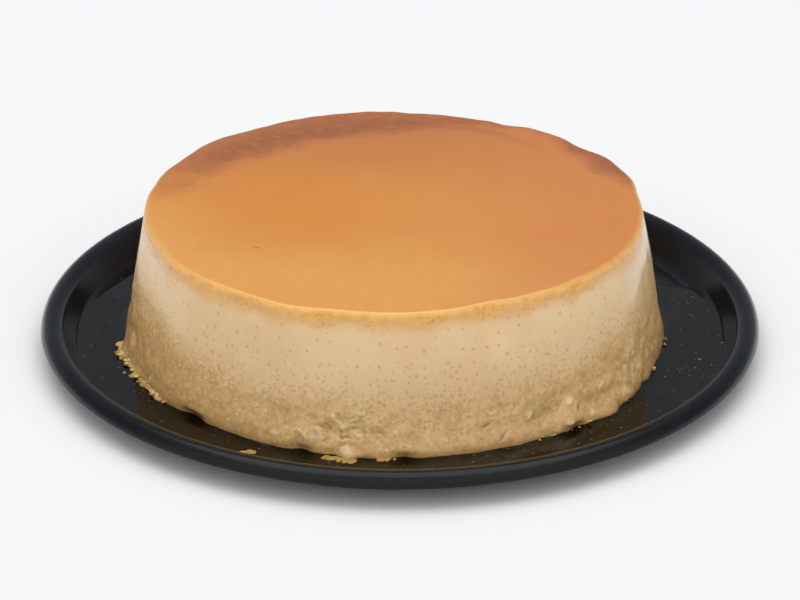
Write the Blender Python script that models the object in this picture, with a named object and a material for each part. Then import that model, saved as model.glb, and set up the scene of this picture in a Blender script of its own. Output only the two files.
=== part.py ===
"""A caramel flan turned out onto a round black plate, with its syrup pooled round the foot.

Units are metres and +Z is up. The origin is the middle of the plate's underside, and the
front is -Y. Run it with: blender --background --python part.py
"""

import math

import bmesh
import bpy
from mathutils import Matrix, Vector, noise

GAP = 0.0003  # between pieces that touch
SHARP_EDGE = math.radians(50)  # an edge that turns more than this is shaded sharp

# Plate: a flat floor, a steep wall and a rim rolled over outwards, all of one thickness.
PLATE_RADIUS = 0.1500
PLATE_THICKNESS = 0.0009
RIM_ROLL = 0.0052  # outer radius of the roll's section
RIM_AXIS = 0.0089  # height of the roll's centre
RIM_END = math.radians(6)  # the lip stops this far above the roll's centre
WALL_SLOPE = math.radians(62)
WELL_FILLET = 0.0060
PLATE_STEPS = 84

# Flan: a tapered round, set a little off the plate's middle.
FLAN_CENTRE = Vector((-0.0028, 0.0005, 0.0))
FLAN_TOP = 0.0602
TOP_RADIUS = 0.1037
SIDE_TAPER = 0.145  # gain in radius for each metre down
EDGE_ROUND = 0.0024
CARAMEL_DEPTH = 0.0032
FLAN_STEPS = 144
COURSE_RISE = 0.0019  # height of the side's lowest course of faces
COURSE_GROWTH = 1.14  # each course is this much taller than the one below
TOP_RINGS = (0.85, 0.55, 0.25)  # shares of the radius that carry a ring of points on the top

# Syrup: a shallow pool in the well, cut round the flan's foot.
SYRUP_TOP = 0.0026
SHORE_WAVE = 0.0004
SHORE_WAVE_LENGTH = 0.012
SHORE_LAYER = 9.1  # height at which the noise is read, so that each wave has its own

# Foot of the flan: it spreads, and below FOOT_BAND it stands upright in the syrup.
FOOT_BAND = 0.0032
FOOT_FLARE = 0.0012
FLARE_HEIGHT = 0.0190

# Scalloped upper edge, with wider lobes and dents left by the pan, and a gently uneven top.
SCALLOP_REACH = 0.0009
SCALLOP_LENGTH = 0.016
SCALLOP_LAYER = 3.7
EDGE_LOBES = (  # (azimuth, half width, reach) at the top edge
    (170.0, 14.0, -0.0012),
    (153.0, 11.0, -0.0012),
    (142.0, 6.0, 0.0005),
    (126.0, 8.0, -0.0008),
    (90.0, 75.0, -0.0011),
    (87.0, 5.0, -0.0011),
    (82.0, 8.0, -0.0010),
    (70.0, 18.0, -0.0030),
    (60.0, 6.0, -0.0018),
    (37.0, 9.0, -0.0016),
    (21.0, 12.0, 0.0008),
    (0.0, 17.0, -0.0014),
    (-46.0, 8.0, -0.0010),
    (-56.0, 9.0, -0.0012),
    (-68.0, 12.0, -0.0024),
    (-112.0, 12.0, 0.0009),
    (-166.0, 22.0, -0.0016),
)
LOBE_DEPTH = 0.025  # the lobes die out this far below the top
RUFFLE_REACH = 0.0009  # fine ruffles along the back of the edge
RUFFLE_LENGTH = 0.0085
RUFFLE_STRETCH = (105.0, 90.0)  # azimuth and half width
TOP_WAVE = 0.0004
TOP_WAVE_LENGTH = 0.045
TOP_WAVE_LAYER = 5.3

# Crags of the lower side: lumps of this size and depth.
CRAG_SIZE = 0.0085
CRAG_DEPTH = 0.0016
CRAG_HEIGHT = 0.026
CRAG_FULL = 0.3  # share of their height up to which the crags keep their full depth

# Marks along the pool and the foot, each (azimuth in degrees, half width in degrees, reach).
POOL_BAYS = ((24.0, 7.0, -0.0095), (36.0, 12.0, -0.0080), (146.0, 6.0, -0.0030))
FOOT_MARKS = (
    (-78.0, 58.0, 0.0017),  # the foot sags outwards at the front
    (-42.0, 26.0, 0.0018),
    (-168.0, 6.0, 0.0016),  # crumbling fringe at the left
    (-157.0, 4.0, 0.0012),
    (-135.0, 5.0, -0.0026),  # dark nick
    (-108.0, 3.0, -0.0016),  # lifted edge
    (-98.6, 3.2, 0.0028),  # scraps pushed out at the front
    (-87.5, 3.5, -0.0016),  # lifted edge
    (-50.5, 3.0, -0.0018),  # cleft
    (-41.0, 6.0, 0.0014),
    (-27.0, 5.0, -0.0004),
    (38.0, 5.0, 0.0013),
    (84.0, 4.0, -0.0020),
    (121.0, 5.0, 0.0012),
)
FOOT_MARK_HEIGHT = 0.0065
# Where the crags are deepest, (azimuth, half width, strength), and where they climb higher.
ROUGH_PATCHES = (
    (-101.0, 24.0, 0.75),
    (-40.0, 40.0, 0.90),
    (45.0, 35.0, 0.60),
    (120.0, 40.0, 0.65),
    (-165.0, 26.0, 0.55),
)
ROUGH_EVERYWHERE = 0.25
HIGH_CRAGS = ((-8.0, 34.0, 0.014), (178.0, 38.0, 0.026))


def hump(angle, azimuth, half_width):
    """1 at the azimuth, falling smoothly to 0 at the half width. Angle in radians, the rest in degrees."""
    off = (math.degrees(angle) - azimuth + 180.0) % 360.0 - 180.0
    return 0.0 if abs(off) >= half_width else 0.5 + 0.5 * math.cos(math.pi * off / half_width)


def fade(height, full, none):
    """1 up to the height `full`, falling smoothly to 0 at the height `none`."""
    share = min(max((none - height) / (none - full), 0.0), 1.0)
    return share * share * (3.0 - 2.0 * share)


def around(angle, radius, size, layer):
    """Smooth noise round a circle, about -1 to 1, with waves about `size` long."""
    return noise.noise(Vector((radius * math.cos(angle) / size, radius * math.sin(angle) / size, layer)))


def scallops(angle, z):
    """Shallow lobes left on the flan by its pan, the wider ones at the edge alone."""
    wide = sum(reach * hump(angle, at, width) for at, width, reach in EDGE_LOBES)
    narrow = SCALLOP_REACH * around(angle, TOP_RADIUS, SCALLOP_LENGTH, SCALLOP_LAYER)
    ruffles = hump(angle, *RUFFLE_STRETCH) * around(angle, TOP_RADIUS, RUFFLE_LENGTH, SCALLOP_LAYER)
    narrow += RUFFLE_REACH * ruffles
    return narrow + wide * (1.0 - fade(z, FLAN_TOP - LOBE_DEPTH, FLAN_TOP))


def crags(angle, z):
    """Lumpy relief of the side, deepest near the foot."""
    top = CRAG_HEIGHT + sum(rise * hump(angle, at, width) for at, width, rise in HIGH_CRAGS)
    strength = ROUGH_EVERYWHERE + sum(s * hump(angle, at, width) for at, width, s in ROUGH_PATCHES)
    place = Vector((TOP_RADIUS * math.cos(angle), TOP_RADIUS * math.sin(angle), z)) / CRAG_SIZE
    return CRAG_DEPTH * strength * fade(z, CRAG_FULL * top, top) * noise.fractal(place, 1.0, 2.0, 2)


def foot_marks(angle, z):
    """Nicks, scraps and lifted edges along the foot."""
    reach = sum(reach * hump(angle, at, width) for at, width, reach in FOOT_MARKS)
    return reach * fade(z, FOOT_BAND, FOOT_MARK_HEIGHT)


def side_radius(angle, z):
    """Radius of the flan's side about its own axis."""
    level = max(z, FOOT_BAND)
    straight = TOP_RADIUS + SIDE_TAPER * (FLAN_TOP - level)
    flare = FOOT_FLARE * fade(level, FOOT_BAND, FLARE_HEIGHT)
    return straight + flare + scallops(angle, z) + crags(angle, level) + foot_marks(angle, level)


def rim_roll():
    """Centre of the rim's roll, as (radius, height)."""
    return PLATE_RADIUS - RIM_ROLL, RIM_AXIS


def well_fillet():
    """Centre of the fillet between floor and wall, which the wall's slope sets from the roll's."""
    radius, height = rim_roll()
    wall = math.pi / 2 + WALL_SLOPE  # direction of the wall's normal, inwards and up
    centre_height = PLATE_THICKNESS + WELL_FILLET
    drop = height + (RIM_ROLL + WELL_FILLET) * math.sin(wall) - centre_height
    return radius + (RIM_ROLL + WELL_FILLET) * math.cos(wall) - drop / math.tan(WALL_SLOPE), centre_height


def shore_radius(angle, z):
    """Radius of the pool's outer edge about the plate's axis, just clear of the well's fillet."""
    radius, height = well_fillet()
    full = radius + math.sqrt(max((WELL_FILLET - GAP) ** 2 - (height - z) ** 2, 0.0))
    bays = sum(reach * hump(angle, at, width) for at, width, reach in POOL_BAYS)
    return full + bays - SHORE_WAVE * abs(around(angle, full, SHORE_WAVE_LENGTH, SHORE_LAYER))


def material(name, colour, roughness):
    made = bpy.data.materials.new(name)
    made.use_nodes = True
    shader = made.node_tree.nodes["Principled BSDF"]
    shader.inputs["Base Color"].default_value = (*colour, 1.0)
    shader.inputs["Roughness"].default_value = roughness
    shader.inputs["Metallic"].default_value = 0.0
    return made


def add_object(name, mesh, finish):
    mesh.materials.append(finish)
    made = bpy.data.objects.new(name, mesh)
    bpy.context.scene.collection.objects.link(made)
    return made


def mesh_from(bm, name):
    """Turn a finished bmesh into a smooth shaded mesh with its faces outwards."""
    bmesh.ops.recalc_face_normals(bm, faces=bm.faces[:])
    mesh = bpy.data.meshes.new(name)
    bm.to_mesh(mesh)
    bm.free()
    mesh.shade_smooth()
    mesh.set_sharp_from_angle(angle=SHARP_EDGE)
    return mesh


def arc(centre, radius, start, end, steps):
    """Points of an arc in the (radius, height) plane, its angles from +radius towards +height."""
    angles = [start + (end - start) * i / steps for i in range(steps + 1)]
    return [(centre[0] + radius * math.cos(a), centre[1] + radius * math.sin(a)) for a in angles]


def plate_section():
    """The plate's turned outline, from the floor's middle round the lip to the underside's middle."""
    roll, fillet = rim_roll(), well_fillet()
    middle = RIM_ROLL - PLATE_THICKNESS / 2
    lip = (roll[0] + middle * math.cos(RIM_END), roll[1] + middle * math.sin(RIM_END))
    wall = math.pi / 2 + WALL_SLOPE
    down, foot = -math.pi / 2, wall - math.pi
    return [
        (0.0, PLATE_THICKNESS),
        *arc(fillet, WELL_FILLET, down, foot, 3),
        *arc(roll, RIM_ROLL, wall, RIM_END, 8),
        *arc(lip, PLATE_THICKNESS / 2, RIM_END, RIM_END - math.pi, 4)[1:-1],
        *arc(roll, RIM_ROLL - PLATE_THICKNESS, RIM_END, wall, 4),
        *arc(fillet, WELL_FILLET + PLATE_THICKNESS, foot, down, 3),
        (0.0, 0.0),
    ]


def make_plate():
    section = plate_section()
    mesh = bpy.data.meshes.new("plate")
    edges = [(i, i + 1) for i in range(len(section) - 1)]
    mesh.from_pydata([(radius, 0.0, z) for radius, z in section], edges, [])
    plate = add_object("plate", mesh, material("black_plastic", (0.018, 0.020, 0.022), 0.30))
    turn = plate.modifiers.new("turn", "SCREW")
    turn.axis = "Z"
    turn.angle = 2 * math.pi
    turn.steps = turn.render_steps = PLATE_STEPS
    turn.use_merge_vertices = True
    turn.merge_threshold = 0.00001
    turn.use_smooth_shade = True


def ring_of(bm, place):
    """A ring of points in the flan's steps; place(angle) gives each."""
    return [bm.verts.new(place(2 * math.pi * step / FLAN_STEPS)) for step in range(FLAN_STEPS)]


def join_rings(bm, first, second):
    """A band of faces from one ring to the next."""
    for step, (a, b) in enumerate(zip(first, second)):
        following = (step + 1) % len(first)
        bm.faces.new((a, first[following], second[following], b))


def about(centre, radius, angle, z):
    return centre + Vector((radius * math.cos(angle), radius * math.sin(angle), z))


def make_syrup():
    """Four rings of points, joined each to the next: inside low and high, outside high and low."""
    bm = bmesh.new()
    low, high = PLATE_THICKNESS + GAP, SYRUP_TOP
    rings = [
        ring_of(bm, lambda a: about(FLAN_CENTRE, side_radius(a, low) + GAP, a, low)),
        ring_of(bm, lambda a: about(FLAN_CENTRE, side_radius(a, high) + GAP, a, high)),
        ring_of(bm, lambda a: about(Vector(), shore_radius(a, high), a, high)),
        ring_of(bm, lambda a: about(Vector(), shore_radius(a, low), a, low)),
    ]
    for first, second in zip(rings, rings[1:] + rings[:1]):
        join_rings(bm, first, second)
    add_object("syrup", mesh_from(bm, "syrup"), material("caramel_syrup", (0.035, 0.020, 0.008), 0.05))


def round_slab(low, high):
    """A closed slab of radius 1 in the flan's steps, its ends fans of triangles."""
    bm = bmesh.new()
    lift = Matrix.Translation((0.0, 0.0, (low + high) / 2))
    bmesh.ops.create_cone(
        bm,
        cap_ends=True,
        cap_tris=True,
        segments=FLAN_STEPS,
        radius1=1.0,
        radius2=1.0,
        depth=high - low,
        matrix=lift,
    )
    return bm


def make_custard():
    low, high = PLATE_THICKNESS + GAP, FLAN_TOP - CARAMEL_DEPTH - GAP
    bm = round_slab(low, high)
    level, rise = FOOT_BAND, COURSE_RISE
    while level < high - rise:
        everything = bm.verts[:] + bm.edges[:] + bm.faces[:]
        bmesh.ops.bisect_plane(bm, geom=everything, plane_co=(0.0, 0.0, level), plane_no=(0.0, 0.0, 1.0))
        level, rise = level + rise, rise * COURSE_GROWTH
    for vert in bm.verts:
        if vert.co.xy.length > 0.5:
            angle = math.atan2(vert.co.y, vert.co.x)
            vert.co.xy = side_radius(angle, vert.co.z) * vert.co.xy.normalized()
    bmesh.ops.translate(bm, vec=FLAN_CENTRE, verts=bm.verts[:])
    add_object("custard", mesh_from(bm, "custard"), material("baked_custard", (0.66, 0.46, 0.25), 0.45))


def caramel_section():
    """Rings of the caramel layer as (share of the radius, inset, height), from the side to the middle."""
    rounded = arc((-EDGE_ROUND, FLAN_TOP - EDGE_ROUND), EDGE_ROUND, 0.0, math.pi / 2, 4)
    rings = [(1.0, 0.0, FLAN_TOP - CARAMEL_DEPTH)]
    rings += [(1.0, inset, z) for inset, z in rounded]
    return rings + [(share, 0.0, FLAN_TOP) for share in TOP_RINGS]


def caramel_point(angle, share, inset, z):
    radius = share * (side_radius(angle, z) + inset)
    wave = TOP_WAVE * around(angle, radius, TOP_WAVE_LENGTH, TOP_WAVE_LAYER) if share < 1.0 else 0.0
    return about(FLAN_CENTRE, radius, angle, z + wave)


def make_caramel_top():
    """Rings from the layer's underside up over its rounded edge, then inwards across the top."""
    bm = bmesh.new()
    rings = [ring_of(bm, lambda a, row=row: caramel_point(a, *row)) for row in caramel_section()]
    for first, second in zip(rings, rings[1:]):
        join_rings(bm, first, second)
    caps = [bm.faces.new(rings[0]), bm.faces.new(rings[-1])]
    bmesh.ops.poke(bm, faces=caps)
    finish = material("caramel", (0.60, 0.29, 0.09), 0.30)
    add_object("caramel_top", mesh_from(bm, "caramel_top"), finish)


def main():
    for old in list(bpy.data.objects):
        bpy.data.objects.remove(old)
    make_plate()
    make_syrup()
    make_custard()
    make_caramel_top()


main()
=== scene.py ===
"""A caramel flan turned out onto a round black plate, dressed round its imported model.

The flan stands a little off the plate's middle, in a shallow pool of its own syrup. Sizes are
in metres, +Z is up and the front is -Y. Each piece takes up the form of the solid that it
stands for, worked out again from the same named values, and adds the fine relief, the
crumbs and the finish to it.
"""

import logging
import math
import random
from collections.abc import Callable, Mapping, Sequence
from dataclasses import dataclass
from enum import Enum

import bpy
import numpy as np
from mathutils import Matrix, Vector, noise


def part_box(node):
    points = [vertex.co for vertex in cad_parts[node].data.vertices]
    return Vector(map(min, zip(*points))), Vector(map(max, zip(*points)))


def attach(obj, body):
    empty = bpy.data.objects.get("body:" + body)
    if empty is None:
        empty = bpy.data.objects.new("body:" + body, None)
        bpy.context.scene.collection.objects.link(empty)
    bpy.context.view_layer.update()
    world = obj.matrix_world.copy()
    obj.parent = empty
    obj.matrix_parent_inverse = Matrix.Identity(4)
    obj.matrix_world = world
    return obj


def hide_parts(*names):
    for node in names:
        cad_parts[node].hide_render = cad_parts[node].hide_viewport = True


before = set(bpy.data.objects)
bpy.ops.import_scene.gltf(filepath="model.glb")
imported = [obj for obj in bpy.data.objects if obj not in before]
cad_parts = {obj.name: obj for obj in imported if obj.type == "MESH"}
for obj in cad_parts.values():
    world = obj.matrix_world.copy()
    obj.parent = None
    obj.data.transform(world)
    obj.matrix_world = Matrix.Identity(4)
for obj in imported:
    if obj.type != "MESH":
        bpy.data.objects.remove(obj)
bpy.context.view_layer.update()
LOG = logging.getLogger("flan")
OPAQUE = 1.0
WELD = 0.000005  # points of one mesh nearer than this are one point
Colour = tuple[float, float, float, float]
Section = Sequence[tuple[float, float]]


class Node(Enum):
    """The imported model's nodes."""

    PLATE = "plate"
    SYRUP = "syrup"
    CUSTARD = "custard"
    CARAMEL = "caramel_top"


class Slot(Enum):
    """The record's material slots."""

    PLATE = "plate"
    SYRUP = "syrup"
    CUSTARD = "custard"
    CARAMEL = "caramel"


def paint(red: int, green: int, blue: int) -> Colour:
    """Turn a colour as mixed on a screen into linear light.

    Args:
        red: Red, 0 to 255.
        green: Green, 0 to 255.
        blue: Blue, 0 to 255.

    Returns:
        The linear colour with full opacity.
    """
    linear = [
        share / 12.92 if share <= 0.04045 else ((share + 0.055) / 1.055) ** 2.4
        for share in (red / 255, green / 255, blue / 255)
    ]
    return (linear[0], linear[1], linear[2], OPAQUE)


# ---- Shader bench ----


def maths(operation: str, reflected: bool = False) -> Callable[..., "Signal"]:
    """Make a method that adds a Math node to a signal's bench.

    Args:
        operation: The node's operation.
        reflected: Whether the signal comes last, as in 1 - mask.

    Returns:
        The method.
    """

    def method(signal: "Signal", *terms: "Signal | float") -> "Signal":
        """Add the node, with the signal and the terms in order."""
        ordered = (*terms, signal) if reflected else (signal, *terms)
        return signal.bench.node("ShaderNodeMath", {"operation": operation}, dict(enumerate(ordered)))

    return method


class Signal:
    """An output socket. Arithmetic on it adds Math nodes to its bench.

    `greatest` gives the greater of it and a term, `bearing` the angle in radians of the
    direction whose other part is the term, and `size` the number without its sign.
    """

    __add__ = maths("ADD")
    __radd__ = maths("ADD", reflected=True)
    __sub__ = maths("SUBTRACT")
    __rsub__ = maths("SUBTRACT", reflected=True)
    __mul__ = maths("MULTIPLY")
    __rmul__ = maths("MULTIPLY", reflected=True)
    __truediv__ = maths("DIVIDE")
    __rtruediv__ = maths("DIVIDE", reflected=True)
    __pow__ = maths("POWER")
    __rpow__ = maths("POWER", reflected=True)
    greatest = maths("MAXIMUM")
    bearing = maths("ARCTAN2")
    size = maths("ABSOLUTE")

    def __init__(self, bench: "Bench", socket: bpy.types.NodeSocket) -> None:
        """Wrap a socket that belongs to a bench."""
        self.bench = bench
        self.socket = socket

    def other(self, output: str) -> "Signal":
        """Give another output of the same node."""
        return Signal(self.bench, self.socket.node.outputs[output])

    def rise(self, low: float, high: float) -> "Signal":
        """Rise smoothly from 0 at `low` to 1 at `high`; with low over high it falls instead.

        Args:
            low: Value at which the result is 0.
            high: Value at which the result is 1.

        Returns:
            The smoothed share, from 0 to 1.
        """
        settings = {"interpolation_type": "SMOOTHSTEP"}
        if low <= high:
            return self.bench.node("ShaderNodeMapRange", settings, {0: self, 1: low, 2: high})
        return 1.0 - self.bench.node("ShaderNodeMapRange", settings, {0: self, 1: high, 2: low})


Value = Signal | float | tuple[float, ...]


@dataclass(frozen=True)
class Dots:
    """A scatter of round soft dots of mixed sizes.

    Attributes:
        spacing: Mean distance between the dots' middles.
        radius: Radius of the largest dot.
        share: How many of the dots are kept, from 0 to 1.
    """

    spacing: float
    radius: float
    share: float


class Bench:
    """One material's or world's node tree and the ways in which nodes are added to it."""

    def __init__(self, owner: bpy.types.ID) -> None:
        """Start on a node tree, leaving its shader and output in place.

        Args:
            owner: The material or world that owns it.
        """
        owner.use_nodes = True
        self.owner = owner
        self.tree = owner.node_tree

    def node(
        self,
        kind: str,
        settings: Mapping[str, object] | None = None,
        sockets: Mapping[str | int, Value] | None = None,
        output: str | int = 0,
    ) -> Signal:
        """Add a node.

        Args:
            kind: The node's type.
            settings: Its own settings, set first; "stops" fills a colour ramp.
            sockets: Values or links of its inputs, by name or place.
            output: The output to hand back.

        Returns:
            The chosen output.
        """
        made = self.tree.nodes.new(kind)
        for name, setting in (settings or {}).items():
            if name == "stops":
                self._fill_ramp(made.color_ramp, setting)
            else:
                setattr(made, name, setting)
        for key, value in (sockets or {}).items():
            self.feed(made.inputs[key], value)
        return Signal(self, made.outputs[output])

    def feed(self, socket: bpy.types.NodeSocket, value: Value) -> None:
        """Link a signal to an input, or set the input to a plain value."""
        if isinstance(value, Signal):
            self.tree.links.new(value.socket, socket)
        else:
            socket.default_value = value

    @staticmethod
    def _fill_ramp(ramp: bpy.types.ColorRamp, stops: Sequence[tuple[float, tuple]]) -> None:
        """Set a colour ramp's stops, which are in rising order."""
        while len(ramp.elements) < len(stops):
            ramp.elements.new(1.0)
        for element, (place, colour) in zip(ramp.elements, stops):
            element.position = place
            element.color = colour

    def place(self) -> Signal:
        """Give the point on the object, in the object's own metres."""
        return self.node("ShaderNodeTexCoord", output="Object")

    def joined(self, x: "Signal | float", y: "Signal | float", z: "Signal | float") -> Signal:
        """Join three numbers into a vector."""
        return self.node("ShaderNodeCombineXYZ", None, {0: x, 1: y, 2: z})

    def parts(self, vector: Signal) -> tuple[Signal, Signal, Signal]:
        """Split a vector into its three numbers."""
        split = self.node("ShaderNodeSeparateXYZ", None, {0: vector})
        return split, split.other("Y"), split.other("Z")

    def attribute(self, name: str) -> Signal:
        """Read a number that the mesh carries at each point."""
        return self.node("ShaderNodeAttribute", {"attribute_name": name}, None, "Fac")

    def clouds(self, place: Signal, size: float, detail: float = 2.0, stretch: float = 1.0) -> Signal:
        """Soft noise from 0 to 1.

        Args:
            place: The point at which it is read.
            size: Length of its waves.
            detail: How many finer layers it has.
            stretch: How many times longer the waves are upwards.

        Returns:
            The noise.
        """
        if stretch != 1.0:
            scale = (1.0, 1.0, 1.0 / stretch)
            place = self.node("ShaderNodeMapping", None, {"Vector": place, "Scale": scale})
        sockets = {"Vector": place, "Scale": 1.0 / size, "Detail": detail}
        return self.node("ShaderNodeTexNoise", None, sockets, "Fac")

    def dots(self, place: Signal, dots: Dots) -> Signal:
        """Scatter dots over a flat or unrolled surface.

        Args:
            place: The point at which they are read; only its first two numbers count.
            dots: The scatter.

        Returns:
            1 in the middle of a dot, falling to 0 at its edge.
        """
        settings = {"voronoi_dimensions": "2D"}
        sockets = {"Vector": place, "Scale": 1.0 / dots.spacing, "Randomness": 1.0}
        cells = self.node("ShaderNodeTexVoronoi", settings, sockets, "Distance")
        chosen, sized, _ = self.parts(cells.other("Color"))
        reach = (sized * 0.5 + 0.5) * (dots.radius / dots.spacing)
        return (1.0 - cells / reach).rise(0.0, 0.9) * chosen.rise(dots.share + 0.02, dots.share)

    def blend(self, share: Value, first: Value, second: Value) -> Signal:
        """Mix two colours: the first at 0, the second at 1."""
        settings = {"data_type": "RGBA", "clamp_factor": True}
        return self.node("ShaderNodeMix", settings, {0: share, 6: first, 7: second}, 2)

    def coats(self, base: Value, *coats: tuple[Signal, Value]) -> Signal:
        """Lay coats of colour over a base.

        Args:
            base: The base's colour.
            coats: Each coat's share and colour, in the order in which they are laid.

        Returns:
            The colour that shows.
        """
        for share, colour in coats:
            base = self.blend(share, base, colour)
        return base

    def relief(self, height: Signal, depth: float, under: Signal | None = None) -> Signal:
        """Bump from a height of 0 to 1.

        Args:
            height: The height.
            depth: How deep a height of 1 is.
            under: An earlier relief that this one lies on.

        Returns:
            The bent normal.
        """
        sockets: dict[str | int, Value] = {"Height": height, "Strength": 1.0, "Distance": depth}
        if under is not None:
            sockets["Normal"] = under
        return self.node("ShaderNodeBump", None, sockets)

    def finish(self, **inputs: Value) -> bpy.types.Material:
        """Feed the Principled shader's inputs and hand the material back.

        Args:
            inputs: The inputs; Base_Color stands for Base Color, and so on.

        Returns:
            The finished material.
        """
        shader = self.tree.nodes["Principled BSDF"]
        for name, value in inputs.items():
            self.feed(shader.inputs[name.replace("_", " ")], value)
        return self.owner


# ---- Forms ----


@dataclass(frozen=True)
class Mark:
    """A place round an outline.

    Attributes:
        azimuth: Its middle, in degrees from +X towards +Y.
        half_width: Where it dies out on each side, in degrees.
        reach: Its size there; outwards or upwards is positive.
    """

    azimuth: float
    half_width: float
    reach: float


def hump(angles: np.ndarray, azimuth: float, half_width: float) -> np.ndarray:
    """Give 1 at the azimuth, falling smoothly to 0 at the half width, both in degrees."""
    off = (np.degrees(angles) - azimuth + 180.0) % 360.0 - 180.0
    return np.where(np.abs(off) < half_width, 0.5 + 0.5 * np.cos(np.pi * off / half_width), 0.0)


def total(marks: Sequence[Mark], angles: np.ndarray) -> np.ndarray:
    """Add up the reach of all the marks at each angle."""
    return sum(mark.reach * hump(angles, mark.azimuth, mark.half_width) for mark in marks)


def fade(values: np.ndarray, full: float | np.ndarray, none: float | np.ndarray) -> np.ndarray:
    """Give 1 on the near side of `full`, falling smoothly to 0 at `none`, which may be above or below."""
    share = np.clip((none - values) / (none - full), 0.0, 1.0)
    return share * share * (3.0 - 2.0 * share)


def around(
    angles: np.ndarray, radius: float | np.ndarray = 1.0, level: float | np.ndarray = 0.0
) -> np.ndarray:
    """Give points round the upright axis, from their directions, distances from it and heights."""
    return np.column_stack((radius * np.cos(angles), radius * np.sin(angles), np.zeros_like(angles) + level))


def polar(points: np.ndarray) -> tuple[np.ndarray, np.ndarray, np.ndarray]:
    """Give the points' directions, their distances from the upright axis and their heights."""
    x, y, level = points.T
    return np.arctan2(y, x), np.hypot(x, y), level


def waves(points: np.ndarray, size: float) -> np.ndarray:
    """Smooth noise at each point, about -1 to 1, with waves about `size` long."""
    return np.fromiter(map(noise.noise, (points / size).tolist()), float, len(points))


def ripple(angles: np.ndarray, radius: float, length: float, layer: float) -> np.ndarray:
    """Smooth noise round a circle, with waves about `length` long, read `layer` lengths up."""
    return waves(around(angles, radius, layer * length), length)


def lumps(points: np.ndarray, size: float) -> np.ndarray:
    """Rounded lumps about `size` wide, side by side: 1 on top of a lump and 0 in the cracks."""
    nearest = (noise.voronoi(place)[0][0] for place in (points / size).tolist())
    return np.clip(1.0 - 1.3 * np.fromiter(nearest, float, len(points)) ** 2, 0.0, 1.0)


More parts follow.
